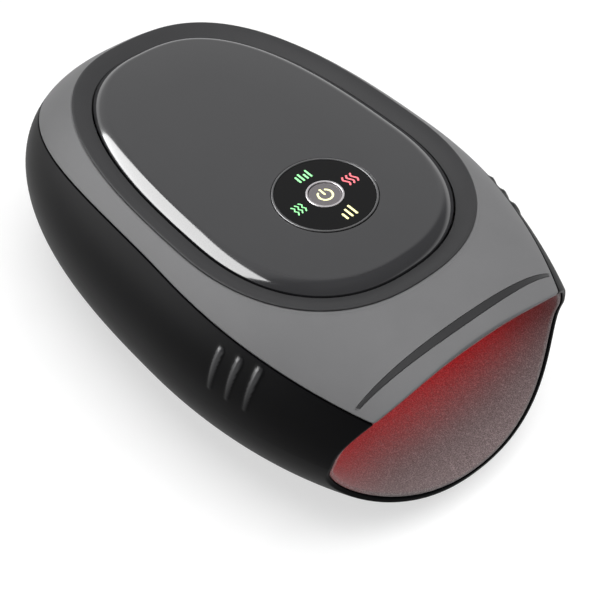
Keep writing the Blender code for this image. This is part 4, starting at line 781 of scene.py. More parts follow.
@dataclass(frozen=True)
class Finish:
    """A real material with a fine grain, a broad unevenness and a gloss that both of them break up."""

    name: str
    colour: str
    roughness: float = 0.4
    ior: float = 1.46
    specular: float = 0.5
    metallic: float = 0.0
    coat: float = 0.0
    coat_roughness: float = 0.08
    sheen: float = 0.0
    grain: float = 0.5 * MM
    grain_depth: float = 0.01 * MM
    mottle: float = 12 * MM
    mottle_share: float = 0.06
    gloss_drift: float = 0.04

    def material(self) -> bpy.types.Material:
        """The Blender material, made once.

        Returns:
            The material.
        """
        made = bpy.data.materials.get(self.name)
        if made is None:
            made = bpy.data.materials.new(self.name)
            made.use_nodes = True
            made.node_tree.nodes.clear()
            self.build(made.node_tree)
        return made

    def build(self, tree: bpy.types.NodeTree) -> None:
        """Lay out the nodes and link them to the output."""
        shader = self.shader(tree)
        add_node(tree, "ShaderNodeOutputMaterial", {"Surface": shader.outputs[0]})

    def shader(self, tree: bpy.types.NodeTree) -> bpy.types.Node:
        """The surface with its colour, gloss and grain.

        Args:
            tree: the material's node tree.

        Returns:
            The surface's node.
        """
        spot = add_node(tree, "ShaderNodeTexCoord").outputs["Object"]
        broad = add_node(
            tree, "ShaderNodeTexNoise", {"Vector": spot, "Scale": 1 / self.mottle, "Detail": 4.0}
        ).outputs["Fac"]
        fine = add_node(
            tree, "ShaderNodeTexNoise", {"Vector": spot, "Scale": 1 / self.grain, "Detail": 2.0}
        ).outputs["Fac"]
        rough = add_node(
            tree,
            "ShaderNodeMapRange",
            {
                "Value": broad,
                "To Min": max(self.roughness - self.gloss_drift, 0.0),
                "To Max": self.roughness + self.gloss_drift,
            },
        ).outputs["Result"]
        bump = add_node(
            tree, "ShaderNodeBump", {"Height": fine, "Distance": self.grain_depth, "Strength": 1.0}
        ).outputs["Normal"]
        values = {
            "Base Color": self.colouring(tree, spot, broad, fine),
            "Roughness": rough,
            "Normal": bump,
            "Metallic": self.metallic,
            "Specular IOR Level": self.specular,
            "Coat Weight": self.coat,
            "Coat Roughness": self.coat_roughness,
            "Sheen Weight": self.sheen,
        }
        if self.metallic == 0.0:
            values["IOR"] = self.ior
        return add_node(tree, "ShaderNodeBsdfPrincipled", values)

    def colouring(
        self,
        tree: bpy.types.NodeTree,
        spot: bpy.types.NodeSocket,
        broad: bpy.types.NodeSocket,
        fine: bpy.types.NodeSocket,
    ) -> bpy.types.NodeSocket:
        """The base colour, a little darker and lighter from place to place.

        Args:
            tree: the material's node tree.
            spot: the place on the piece, as a socket.
            broad: a slow noise, as a socket.
            fine: the grain's noise, as a socket.

        Returns:
            The colour's socket.
        """
        base = linear(self.colour)
        dark = [part * (1 - self.mottle_share) for part in base[:3]] + [1.0]
        light = [min(part * (1 + self.mottle_share), 1.0) for part in base[:3]] + [1.0]
        mix = add_node(
            tree, "ShaderNodeMix", {0: broad, 6: dark, 7: light}, data_type="RGBA", clamp_factor=True
        )
        return mix.outputs[2]


@dataclass(frozen=True)
class LiningFabric(Finish):
    """Brushed fabric on foam: a speckled pile, with a painted red glow (emission on the fabric) for the
    warming light that shines through its roof.
    """

    speck: str = "#3f3737"
    fibre_end: str = "#cfc6c6"
    glow: str = "#ff1a24"
    glow_strength: float = 0.4
    pile: float = 0.45 * MM
    patch: tuple[float, float] = (0.3, 0.7)
    patch_light: tuple[float, float] = (0.55, 1.45)
    ends_from: tuple[float, float] = (0.62, 0.78)
    ends_share: float = 0.7

    def shader(self, tree: bpy.types.NodeTree) -> bpy.types.Node:
        """The fabric with its painted red glow, which follows the lining's own glow attribute.

        Args:
            tree: the material's node tree.

        Returns:
            The surface's node.
        """
        node = super().shader(tree)
        glow = add_node(tree, "ShaderNodeAttribute", attribute_name="glow").outputs["Fac"]
        spot = add_node(tree, "ShaderNodeTexCoord").outputs["Object"]
        fleck = add_node(
            tree, "ShaderNodeTexNoise", {"Vector": spot, "Scale": 0.6 / self.pile, "Detail": 3.0}
        )
        low, high = self.patch
        share = add_node(
            tree, "ShaderNodeMapRange", {"Value": fleck.outputs["Fac"], "From Min": low, "From Max": high}
        )
        for name, part in zip(("To Min", "To Max"), self.patch_light):
            share.inputs[name].default_value = self.glow_strength * part
        strength = add_node(
            tree, "ShaderNodeMath", {0: glow, 1: share.outputs["Result"]}, operation="MULTIPLY"
        )
        # Painted light: the fabric itself emits the red glow.
        tree.links.new(strength.outputs[0], node.inputs["Emission Strength"])
        node.inputs["Emission Color"].default_value = linear(self.glow)
        return node

    def colouring(
        self,
        tree: bpy.types.NodeTree,
        spot: bpy.types.NodeSocket,
        broad: bpy.types.NodeSocket,
        fine: bpy.types.NodeSocket,
    ) -> bpy.types.NodeSocket:
        """Grey fibres with darker dips between them and a few pale fibre ends.

        Args:
            tree: the material's node tree.
            spot: the place on the piece, as a socket.
            broad: a slow noise, as a socket.
            fine: the grain's noise, as a socket.

        Returns:
            The colour's socket.
        """
        cells = add_node(tree, "ShaderNodeTexVoronoi", {"Vector": spot, "Scale": 1 / self.pile})
        fibres = add_node(
            tree,
            "ShaderNodeMix",
            {0: cells.outputs["Distance"], 6: linear(self.speck), 7: linear(self.colour)},
            data_type="RGBA",
        )
        low, high = self.ends_from
        ends = add_node(
            tree,
            "ShaderNodeMapRange",
            {"Value": fine, "From Min": low, "From Max": high, "To Max": self.ends_share},
        )
        mix = add_node(
            tree,
            "ShaderNodeMix",
            {0: ends.outputs["Result"], 6: fibres.outputs[2], 7: linear(self.fibre_end)},
            data_type="RGBA",
        )
        return mix.outputs[2]


@dataclass(frozen=True)
class RibbedTub(Finish):
    """Satin moulded plastic with buffed grip ribs, which shine where the skin round them stays dull, and
    which are painted a paler grey as a painted highlight.
    """

    # Paler grey painted on the ribs: a painted highlight, not the plastic's own colour.
    rib_highlight_colour: str = "#262628"
    rib_specular: float = 0.5
    rib_roughness: float = 0.32

    def shader(self, tree: bpy.types.NodeTree) -> bpy.types.Node:
        """The plastic, glossier where the tub's rib attribute is high.

        Args:
            tree: the material's node tree.

        Returns:
            The surface's node.
        """
        node = super().shader(tree)
        rib = add_node(tree, "ShaderNodeAttribute", attribute_name="rib").outputs["Fac"]
        gloss = add_node(tree, "ShaderNodeMix", {0: rib, 2: self.specular, 3: self.rib_specular})
        rough = add_node(tree, "ShaderNodeMix", {0: rib, 2: self.roughness, 3: self.rib_roughness})
        tree.links.new(gloss.outputs[0], node.inputs["Specular IOR Level"])
        tree.links.new(rough.outputs[0], node.inputs["Roughness"])
        return node

    def colouring(
        self,
        tree: bpy.types.NodeTree,
        spot: bpy.types.NodeSocket,
        broad: bpy.types.NodeSocket,
        fine: bpy.types.NodeSocket,
    ) -> bpy.types.NodeSocket:
        """The tub's black, lifted to a paler grey on the ribs as a painted highlight.

        Args:
            tree: the material's node tree.
            spot: the place on the piece, as a socket.
            broad: a slow noise, as a socket.
            fine: the grain's noise, as a socket.

        Returns:
            The colour's socket.
        """
        black = super().colouring(tree, spot, broad, fine)
        rib = add_node(tree, "ShaderNodeAttribute", attribute_name="rib").outputs["Fac"]
        # Painted highlight: the rib mark mixes the black towards the paler rib grey.
        mix = add_node(
            tree, "ShaderNodeMix", {0: rib, 6: black, 7: linear(self.rib_highlight_colour)}, data_type="RGBA"
        )
        return mix.outputs[2]


@dataclass(frozen=True)
class BackLit(Finish):
    """Translucent ink or paper lit from behind: even, clear light with no hot spot."""

    strength: float = 0.85

    def shader(self, tree: bpy.types.NodeTree) -> bpy.types.Node:
        """The surface with its light.

        Args:
            tree: the material's node tree.

        Returns:
            The surface's node.
        """
        node = super().shader(tree)
        node.inputs["Emission Color"].default_value = linear(self.colour)
        node.inputs["Emission Strength"].default_value = self.strength
        return node


@dataclass(frozen=True)
class LitPaper(Finish):
    """White studio paper: mid grey under the lamps, topped up to white wherever it is seen or mirrored."""

    glow: float = 0.63
    lit_within: float = 0.35
    dark_beyond: float = 1.4

    def shader(self, tree: bpy.types.NodeTree) -> bpy.types.Node:
        """The paper with a light of its own that falls on nothing, stronger where the lamps don't reach.

        Args:
            tree: the material's node tree.

        Returns:
            The surface's node.
        """
        node = super().shader(tree)
        spot = add_node(tree, "ShaderNodeTexCoord").outputs["Object"]
        away = add_node(tree, "ShaderNodeVectorMath", {0: spot}, operation="LENGTH").outputs["Value"]
        glow = add_node(
            tree,
            "ShaderNodeMapRange",
            {"Value": away, "From Min": self.lit_within, "From Max": self.dark_beyond, "To Min": self.glow},
        ).outputs["Result"]
        strength = add_node(tree, "ShaderNodeMath", {0: seen_rays(tree), 1: glow}, operation="MULTIPLY")
        tree.links.new(strength.outputs[0], node.inputs["Emission Strength"])
        node.inputs["Emission Color"].default_value = (1.0, 1.0, 1.0, 1.0)
        return node


# Moulded against a satin tool: deep black that gives almost no mirror image, with a soft falloff.
BLACK_TUB = RibbedTub(
    "satin_black_moulded_abs", "#0a0a0b",
    roughness=0.45, specular=0.05, grain=0.9 * MM, grain_depth=0.002 * MM,
)
# Sprayed satin paint: an even mid grey whose lights are broad and faint.
GREY_COVER = Finish(
    "satin_grey_painted_abs", "#757576",
    roughness=0.48, specular=0.12, grain=0.25 * MM, grain_depth=0.006 * MM,
)
# Fine spark texture in the tool: flat dark grey that shows its dish by shade alone.
DARK_RING = Finish(
    "fine_textured_dark_abs", "#3d3d3e",
    roughness=0.5, specular=0.12, grain=0.2 * MM, grain_depth=0.006 * MM,
)
# Moulded satin: a little brighter at its edges than the ring, so the crescent reads as inset.
DARK_STRIP = Finish(
    "satin_dark_inlay_abs", "#373738",
    roughness=0.42, specular=0.2, grain=0.3 * MM, grain_depth=0.004 * MM,
)
# Polished tool and clear hard coat: a dark mirror with one sharp white crescent on its shoulder.
PAD_GLOSS = Finish(
    "piano_gloss_grey_abs", "#2e2e30",
    roughness=0.13, coat=1.0, grain=1.6 * MM, grain_depth=0.002 * MM,
)
# Smoked clear plastic, printed black behind: the darkest and smoothest spot of the top.
LENS_GLOSS = Finish(
    "smoked_pmma_lens", "#0d0d0e",
    roughness=0.1, ior=1.49, specular=0.22, grain=2 * MM, grain_depth=0.001 * MM,
)
# Moulded satin with a shallow dish: grey that gets lighter towards its rim.
BUTTON_FACE = Finish(
    "satin_dark_button_abs", "#6e6a6c",
    roughness=0.38, grain=0.2 * MM, grain_depth=0.005 * MM,
)
# Plated and satin-brushed: a thin ring that runs from pale to dark with the view.
TRIM_RING = Finish(
    "satin_chrome_trim", "#808081",
    roughness=0.4, metallic=1.0, grain=0.15 * MM, grain_depth=0.002 * MM,
)
# Bright plating with a fine haze: the whitest line of the panel.
BUTTON_RING = Finish(
    "bright_chrome_ring", "#efebee",
    roughness=0.36, metallic=1.0, grain=0.15 * MM, grain_depth=0.002 * MM,
)
# Brushed knit on foam: pale fibre ends over dark dips, drawn coarser than life to show in the render.
LINING = LiningFabric(
    "brushed_lining_on_foam", "#948a8a",
    roughness=0.9, sheen=0.3, grain=0.35 * MM, grain_depth=0.12 * MM,
)
# Welded film: milky blue grey with a weak, wavy shine.
BAG_FILM = Finish("welded_tpu_bag_film", "#9aa3ad", roughness=0.3, grain=1.5 * MM, grain_depth=0.05 * MM)
# Cast polyimide: the amber sheen of a heater foil.
HEAT_FILM = Finish(
    "amber_polyimide_heat_film", "#a4672b",
    roughness=0.25, grain=0.8 * MM, grain_depth=0.01 * MM,
)
# Plain inner moulding: off-white and dull.
WHITE_ABS = Finish("plain_white_inner_abs", "#d9d8d2", roughness=0.5, grain=0.4 * MM, grain_depth=0.01 * MM)
# Glass laminate under solder mask: dark green with a smooth shine.
LAMINATE = Finish("green_board_laminate", "#1d5a35", roughness=0.35, grain=0.6 * MM, grain_depth=0.01 * MM)
# Zinc plate on steel: pale metal with a fine haze.
ZINC_STEEL = Finish(
    "zinc_plated_screw_steel", "#bcbcbe",
    roughness=0.32, metallic=1.0, grain=0.2 * MM, grain_depth=0.004 * MM,
)
# Drawn sheet: smooth grey metal with long soft streaks of light.
MOTOR_STEEL = Finish(
    "drawn_motor_can_steel", "#aeb0b4",
    roughness=0.3, metallic=1.0, grain=0.5 * MM, grain_depth=0.004 * MM,
)
# Shrunk sleeve: blue with a slightly rippled gloss.
CELL_WRAP = Finish("blue_pvc_cell_wrap", "#2a5a9c", roughness=0.3, grain=1.2 * MM, grain_depth=0.02 * MM)
# Extruded soft tube: milky and half dull.
SILICONE = Finish(
    "milky_silicone_hose", "#d4d2cb",
    roughness=0.45, ior=1.41, grain=0.8 * MM, grain_depth=0.01 * MM,
)
# Moulded rubber: near black with no shine.
RUBBER = Finish(
    "black_foot_rubber", "#1a1a1b",
    roughness=0.75, ior=1.52, grain=0.3 * MM, grain_depth=0.02 * MM,
)

# Ink lit from behind: even clear light, here in green.
SIGN_GREEN = BackLit("lit_ink_green", "#8fe79a", roughness=0.3)
# The same in red, for warmth.
SIGN_RED = BackLit("lit_ink_red", "#e56f78", roughness=0.3)
# The same in pale yellow, for strength.
SIGN_YELLOW = BackLit("lit_ink_yellow", "#fbf6ae", roughness=0.3)
# The same in a slightly warmer yellow, for the power sign.
SIGN_POWER = BackLit("lit_ink_pale_yellow", "#f6f3b4", roughness=0.3)

SLOT_FINISHES = {
    Slot.TUB: BLACK_TUB,
    Slot.COVER: GREY_COVER,
    Slot.DARK: DARK_RING,
    Slot.PAD: PAD_GLOSS,
    Slot.TRIM: TRIM_RING,
    Slot.WHITE: WHITE_ABS,
    Slot.LINING: LINING,
    Slot.BAG: BAG_FILM,
    Slot.HEAT: HEAT_FILM,
    Slot.BOARD: LAMINATE,
    Slot.SCREW: ZINC_STEEL,
    Slot.MOTOR: MOTOR_STEEL,
    Slot.CELL: CELL_WRAP,
    Slot.HOSE: SILICONE,
    Slot.RUBBER: RUBBER,
}


def piece(
    name: str,
    mesh: bmesh.types.BMesh,
    finish: Finish,
    slot: Slot,
    stands_for: Sequence[str] = (),
    body: str = "housing",
    crease: float | None = None,
) -> bpy.types.Object:
    """Turn a mesh into a shown piece that rides on a body.

    Args:
        name: the piece's name.
        mesh: its mesh, which is freed.
        finish: its finish.
        slot: the record's material slot; not used.
        stands_for: CAD nodes that it replaces.
        body: the body that it rides on.
        crease: edges sharper than this angle in degrees stay sharp; None lets large faces lead.

    Returns:
        The piece.
    """
    bmesh.ops.recalc_face_normals(mesh, faces=mesh.faces[:])
    data = bpy.data.meshes.new(name)
    mesh.to_mesh(data)
    mesh.free()
    data.shade_smooth()
    if crease is None:
        even_weights(data)
    else:
        data.set_sharp_from_angle(angle=math.radians(crease))
    data.materials.append(finish.material())
    made = bpy.data.objects.new(name, data)
    bpy.context.scene.collection.objects.link(made)
    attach(made, body)
    if stands_for:
        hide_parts(*stands_for)
    log.info("%s: %d faces", name, len(data.polygons))
    return made


# The two shells


def spaced(low: float, high: float, count: int) -> list[float]:
    """Even steps from low to high, both ends kept."""
    return [low + (high - low) * step / count for step in range(count + 1)]


@dataclass
class LowerShell:
    """The black tub: keel, skirt with three raised ribs a side, lip, foot sockets and screw holes."""

    wall: float = 1.6 * MM
    columns_pitch: float = 3.0 * MM
    rib_pitch_fine: float = 0.6 * MM
    socket_pitch_fine: float = 0.55 * MM
    rib_radius: float = 1.7 * MM
    rib_stand: float = 0.82 * MM
    rib_sink: float = 0.5 * MM
    rib_pitch: float = 7.7 * MM
    rib_middle_y: float = -0.0607
    rib_top_z: float = 0.0752
    rib_bottom_z: float = 0.0605
    rib_count: int = 3
    rib_level: float = 0.068
    rib_zone: tuple[float, float] = (-0.079, -0.043)
    rib_soft: float = 0.12 * MM
    buffed_and_highlight_from: float = 0.1 * MM
    buffed_and_highlight_full: float = 0.45 * MM
    fade_reach: float = 2.0 * MM
    foot_radius: float = 6.3 * MM
    foot_places: tuple = ((0.02, -0.056), (0.02, 0.026))
    screw_radius: float = 2.7 * MM
    screw_places: tuple = ((0.027, -0.036), (0.027, 0.006))
    socket: Oval = Oval(0.0048, 0.0019, 0.0019, 5.0, 5.0)
    socket_z: float = 0.03
    socket_zone: float = 8.0 * MM
    socket_rear_y: float = 0.05
    keel_share: float = 0.692
    socket_rows: tuple[float, float, int] = (0.0265, 0.0335, 14)
    skirt_rows: tuple = ((0.0512, 0.0580, 5), (0.0586, 0.0772, 31), (0.0782, 0.0845, 7))
    edge: RolledEdge = RolledEdge()

    def angles(self) -> list[float]:
        """Column angles: close together at the ribs and the charging slot, wide elsewhere.

        Returns:
            The angles, once round, in radians.
        """
        half = []
        angle = -math.pi / 2
        oval = BODY.level(self.rib_level)
        while angle < math.pi / 2:
            half.append(angle)
            place = BODY.place(oval, angle, 0.0)
            step = BODY.place(oval, angle + 0.001, 0.0) - place
            pitch = self.columns_pitch
            if self.rib_zone[0] < place.y < self.rib_zone[1]:
                pitch = self.rib_pitch_fine
            elif place.y > 0 and place.x < self.socket_zone:
                pitch = self.socket_pitch_fine
            angle += pitch / step.length * 0.001
        half.append(math.pi / 2)
        return half + [math.pi - angle for angle in half[-2:0:-1]]

    def heights(self) -> list[float]:
        """Row heights from the keel's edge to above the parting line.

        Returns:
            The heights, from low to high.
        """
        turns = spaced(math.pi / 2 * self.keel_share, 0.0, 40)
        low = [BODY.widest_z - BODY.keel_drop * math.sin(turn) for turn in turns]
        bottom, top, _ = self.socket_rows
        low = [z for z in low if z > BODY.base_z + 0.2 * MM and not bottom - GAP < z < top + GAP]
        low += spaced(*self.socket_rows)
        high = [z for band in self.skirt_rows for z in spaced(*band)]
        return [BODY.base_z, BODY.base_z + 0.1 * MM] + sorted(low) + high

    def rows(self) -> list[list[Vector]]:
        """The tub's skin as rows of points, from the middle of the base up.

        Returns:
            The rows.
        """
        angles = self.angles()
        base = BODY.level(BODY.base_z)
        shares = [share / 40 for share in range(1, 40)] + [0.993]
        rows = [[BODY.place(base.scaled(share), angle, BODY.base_z) for angle in angles] for share in shares]
        rows += [[BODY.place(BODY.level(z), angle, z) for angle in angles] for z in self.heights()]
        return rows

    def hole_clearance(self, place: Vector) -> float:
        """Distance of a place on the base from the nearest foot socket or screw hole.

        Args:
            place: a point of the tub's skin.

        Returns:
            The distance, negative in a hole.
        """
        if place.z > BODY.base_z + MM:
            return FAR
        gaps = []
        for radius, places in ((self.foot_radius, self.foot_places), (self.screw_radius, self.screw_places)):
            gaps += [math.hypot(abs(place.x) - x, place.y - y) - radius for x, y in places]
        return min(gaps)

    def edge_path(self, place: Vector, normal: Vector, side: Vector) -> list[Vector]:
        """The way in from any edge of the tub.

        Args:
            place: a point of the skin's edge.
            normal: the skin's direction there.
            side: the direction away from the skin there.

        Returns:
            The points, EDGE_STEPS of them.
        """
        return (RimEdge() if MOUTH.at_rim(place) else self.edge).path(place, normal, side)

    def rib_height(self, place: Vector) -> float:
        """How far the ribs lift the skirt at a place.

        Args:
            place: a point of the tub's skin.

        Returns:
            The lift in metres.
        """
        lift = 0.0
        for index in range(self.rib_count):
            y = self.rib_middle_y + self.rib_pitch * (index - (self.rib_count - 1) / 2)
            z = min(max(place.z, self.rib_bottom_z), self.rib_top_z)
            sink = self.rib_sink * (self.rib_top_z - z) / (self.rib_top_z - self.rib_bottom_z)
            away = math.hypot(place.y - y, place.z - z)
            chord = math.sqrt(max(self.rib_radius**2 - away**2, 0.0))
            rise = chord - self.rib_radius + self.rib_stand - sink
            lift = max(lift, (rise + math.hypot(rise, self.rib_soft)) / 2)
        return lift

    def build(self) -> bpy.types.Object:
        """Make the tub.

        Returns:
            The tub.
        """
        skin = Skin(self.rows(), mark="rib")
        pole(skin.mesh, skin.laid[0], Vector((0.0, BODY.middle_y, BODY.base_z)))
        skin.face_up(Vector((0.0, 0.0, BODY.widest_z)))
        skin.trim(MOUTH.skin_room)
        skin.trim(lambda place: PARTING.height(place.y) - EDGE_ROOM - place.z)
        skin.trim(self.hole_clearance)
        skin.trim(self.socket_clearance)
        front, rear = self.rib_zone
        skirt = [vert for vert in skin.mesh.verts if vert.co.z > BODY.widest_z and front < vert.co.y < rear]
        lifted = {vert: skin.normals[vert] * self.rib_height(vert.co) for vert in skirt}
        rib = skin.mesh.verts.layers.float["rib"]
        for vert, lift in lifted.items():
            # The rib mark carries both the ribs' buffed gloss and their painted highlight, which is
            # strongest at their top ends, where the light falls.
            fade = 0.25 + 0.75 * smoothstep(self.rib_bottom_z - self.fade_reach, self.rib_top_z, vert.co.z)
            vert[rib] = fade * smoothstep(self.buffed_and_highlight_from, self.buffed_and_highlight_full, lift.length)
        skin.close(self.wall, self.edge_path)
        for vert, lift in lifted.items():
            vert.co += lift
        return piece("tub_shell", skin.mesh, BLACK_TUB, Slot.TUB, ["lower_shell"])

    def socket_clearance(self, place: Vector) -> float:
        """Distance of a place at the rear from the charging slot."""
        rear = place.y > self.socket_rear_y
        return self.socket.clearance(place.x, place.z - self.socket_z) if rear else FAR


@dataclass(frozen=True)
class Crescent:
    """The outline of the dark inlay in the cover, seen from above."""

    rear_y: float = -0.1
    bow: float = 1.9 * MM
    tip: float = 1.1 * MM
    half: float = 47.2 * MM

    def front_y(self, x: float) -> float:
        """Where its bowed front edge lies."""
        return self.rear_y - self.tip - self.bow * (1 - (x / self.half) ** 2)

    def clearance(self, place: Vector) -> float:
        """Distance of a place outside the outline, negative inside it."""
        return -min(self.rear_y - place.y, place.y - self.front_y(place.x), self.half - abs(place.x))


CRESCENT = Crescent()


@dataclass
class UpperShell:
    """The grey cover: dome and visor, with a slot for the inlay and a flat seat for the ring."""

    wall: float = 1.6 * MM
    columns: int = 300
    edge: RolledEdge = RolledEdge()
    slot_edge: RolledEdge = RolledEdge(radius=0.14 * MM)
    slot_lift: float = 0.75 * MM
    slot_band: float = 0.3 * MM
    slot_zone_y: float = -0.09
    seat_band: float = 0.5 * MM
    row_bands: tuple = ((0.0562, 0.0700, 30), (0.0702, 0.0845, 64), (0.0848, 0.08915, 14))

    def rows(self) -> list[list[Vector]]:
        """The cover's skin as rows of points, from below the parting line to the seat.

        Returns:
            The rows.
        """
        heights = [z for band in self.row_bands for z in spaced(*band)]
        angles = [math.tau * step / self.columns for step in range(self.columns)]
        return [[BODY.place(BODY.level(z), angle, z) for angle in angles] for z in heights]

    def edge_path(self, place: Vector, normal: Vector, side: Vector) -> list[Vector]:
        """The way in from any edge of the cover.

        Args:
            place: a point of the skin's edge.
            normal: the skin's direction there.
            side: the direction away from the skin there.

        Returns:
            The points, EDGE_STEPS of them.
        """
        if place.z > BODY.seat_z - self.seat_band:
            return SeatEdge().path(place, normal, side)
        over_parting = place.z - PARTING.height(place.y) > self.slot_lift
        if over_parting and abs(CRESCENT.clearance(place)) < self.slot_band:
            return self.slot_edge.path(place, normal, side)
        edge = RimEdge() if MOUTH.at_rim(place) else self.edge
        return edge.path(place, normal, side)

    def build(self) -> bpy.types.Object:
        """Make the cover.

        Returns:
            The cover.
        """
        skin = Skin(self.rows())
        skin.face_up(Vector((0.0, 0.0, BODY.widest_z)))
        skin.trim(MOUTH.skin_room)
        skin.trim(lambda place: place.z - PARTING.height(place.y) - GAP - EDGE_ROOM)
        slot = self.slot_edge.radius
        front = self.slot_zone_y
        skin.trim(lambda place: CRESCENT.clearance(place) - slot if place.y < front else FAR)
        skin.close(self.wall, self.edge_path)
        return piece("cover_shell", skin.mesh, GREY_COVER, Slot.COVER, ["upper_shell"])


@dataclass
class AccentStrip:
    """The dark crescent let into the front of the cover, flush with it."""

    margin: float = 0.12 * MM
    edge_radius: float = 0.12 * MM
    flush: float = 0.03 * MM
    thickness: float = 0.9 * MM

    def build(self) -> bpy.types.Object:
        """Make the inlay.

        Returns:
            The inlay.
        """
        inner = self.margin + self.edge_radius
        rows = []
        for x in spaced(-CRESCENT.half + inner, CRESCENT.half - inner, 150):
            front = CRESCENT.front_y(x) + inner
            rear = CRESCENT.rear_y - inner
            row = [Vector((x, y, BODY.top_z(x, y))) for y in spaced(front, rear, 8)]
            rows.append(row)
        skin = Skin(rows, ring=False)
        skin.face_up(Vector((0.0, 0.0, BODY.widest_z)))
        skin.trim(lambda place: place.z - PARTING.height(place.y) - GAP - EDGE_ROOM)
        for vert in skin.mesh.verts:
            vert.co -= skin.normals[vert] * self.flush
        edge = RolledEdge(radius=self.edge_radius, wall=self.thickness)
        skin.close(self.thickness, edge.path)
        return piece("crescent_inlay", skin.mesh, DARK_STRIP, Slot.DARK, ["accent_strip"])


# Ring, pad and panel


@dataclass
class BezelRing:
    """The dished ring: a soft crest outside and a slope that falls to the pad."""

    sides: int = 240
    inset: float = 0.5 * MM
    width: float = 7.3 * MM
    crest: float = 1.2 * MM
    dish: float = 2.7 * MM
    depth: float = 4.8 * MM
    seat_width: float = 4.0 * MM
    side_drop: float = 0.35 * MM
    side_round: float = 0.3 * MM
    crest_setback: float = 0.9 * MM
    crest_round: float = 1.1 * MM
    slope_round: float = 3.0 * MM
    foot_round: float = 0.2 * MM

    def build(self) -> bpy.types.Object:
        """Make the ring.

        Returns:
            The ring.
        """
        flange = BODY.seat_z + GAP
        crest = BODY.seat_z + self.crest
        outer, inner = self.inset, self.inset + self.width
        corners = [
            (outer + MM, flange, 0.0),
            (outer, flange, self.foot_round / 2),
            (outer, crest - self.side_drop, self.side_round),
            (outer + self.crest_setback, crest, self.crest_round),
            (outer + self.width * 0.5, crest - self.dish * 0.3, self.slope_round),
            (inner, crest - self.dish, self.foot_round),
            (inner, BODY.seat_z - self.depth, self.foot_round),
            (self.seat_width + GAP, BODY.seat_z - self.depth, self.foot_round),
            (self.seat_width + GAP, flange, self.foot_round),
            (self.seat_width - MM, flange, 0.0),
        ]
        angles = [math.tau * step / self.sides for step in range(self.sides)]
        rows = [
            [BODY.place(BODY.seat(inset), angle, z) for angle in angles]
            for inset, z in rounded(corners, 5)
        ]
        mesh = bmesh.new()
        laid = loft(mesh, rows + [rows[0]])
        join_rows(mesh, laid[-1], laid[0])
        return piece("dished_ring", mesh, DARK_RING, Slot.DARK, ["bezel_ring"])


@dataclass
class TopPad:
    """The raised gloss pad with a rolled shoulder, a very slight crown and the panel's round recess."""

    sides: int = 256
    inset: float = 8.4 * MM
    top_z: float = 0.092
    foot_z: float = 0.0848
    shoulder_arcs: tuple = ((0.0, 38.0, 1.0 * MM), (38.0, 70.0, 8.2 * MM), (70.0, 90.0, 6.0 * MM))
    crown_reach: float = 21.6 * MM
    crown_drop: float = 0.5 * MM
    wall: float = 1.5 * MM
    panel_y: float = -0.031
    panel_radius: float = 19.75 * MM
    recess_from_z: float = 0.09
    foot_round: float = 0.3 * MM

    def profile(self) -> list[tuple[float, float]]:
        """Insets and heights from the foot over the shoulder to the flat top.

        Returns:
            The points. The shoulder is made of three arcs that follow each other without a kink.
        """
        rise = self.top_z - self.crown_drop
        bends = []
        for low, high, radius in self.shoulder_arcs:
            lean = [math.radians(low + (high - low) * step / 12) for step in range(13)]
            bends.append([(radius * math.cos(turn), radius * math.sin(turn)) for turn in lean])
        rise -= sum(bend[-1][1] - bend[0][1] for bend in bends)
        across, up = self.inset, rise
        points = [(across, self.foot_z), (across, (self.foot_z + rise) / 2), (across, up)]
        for bend in bends:
            for before, after in zip(bend, bend[1:]):
                across += before[0] - after[0]
                up += after[1] - before[1]
                points.append((across, up))
        for share in spaced(0.0, 1.0, 14)[1:]:
            lift = 1 - (1 - share) ** 2
            points.append((across + self.crown_reach * share, up + self.crown_drop * lift))
        return points

    def build(self) -> bpy.types.Object:
        """Make the pad.

        Returns:
            The pad.
        """
        profile = self.profile()
        angles = [math.tau * step / self.sides for step in range(self.sides)]
        rows = [[BODY.place(BODY.seat(inset), angle, z) for angle in angles] for inset, z in profile]
        flat = BODY.seat(profile[-1][0])
        for share in [step / 24 for step in range(23, 0, -1)]:
            rows.append([BODY.place(flat.scaled(share), angle, self.top_z) for angle in angles])
        skin = Skin(rows)
        pole(skin.mesh, skin.laid[-1], Vector((0.0, BODY.middle_y, self.top_z)))
        skin.face_up(Vector((0.0, 0.0, BODY.widest_z)))
        skin.trim(self.recess_room)
        skin.close(self.wall, self.edge_path)
        return piece("gloss_pad", skin.mesh, PAD_GLOSS, Slot.PAD, ["top_pad"])

    def recess_room(self, place: Vector) -> float:
        """Distance of a place on the pad's top from the line where the recess's edge starts.

        Args:
            place: a point of the pad's skin.

        Returns:
            The distance, negative in the recess.
        """
        reach = self.panel_radius + RecessEdge().radius
        on_top = place.z > self.recess_from_z
        return math.hypot(place.x, place.y - self.panel_y) - reach if on_top else FAR

    def edge_path(self, place: Vector, normal: Vector, side: Vector) -> list[Vector]:
        """The way in from the pad's foot or from the panel's recess."""
        foot = RolledEdge(radius=self.foot_round, wall=self.wall)
        return (RecessEdge() if place.z > self.recess_from_z else foot).path(place, normal, side)


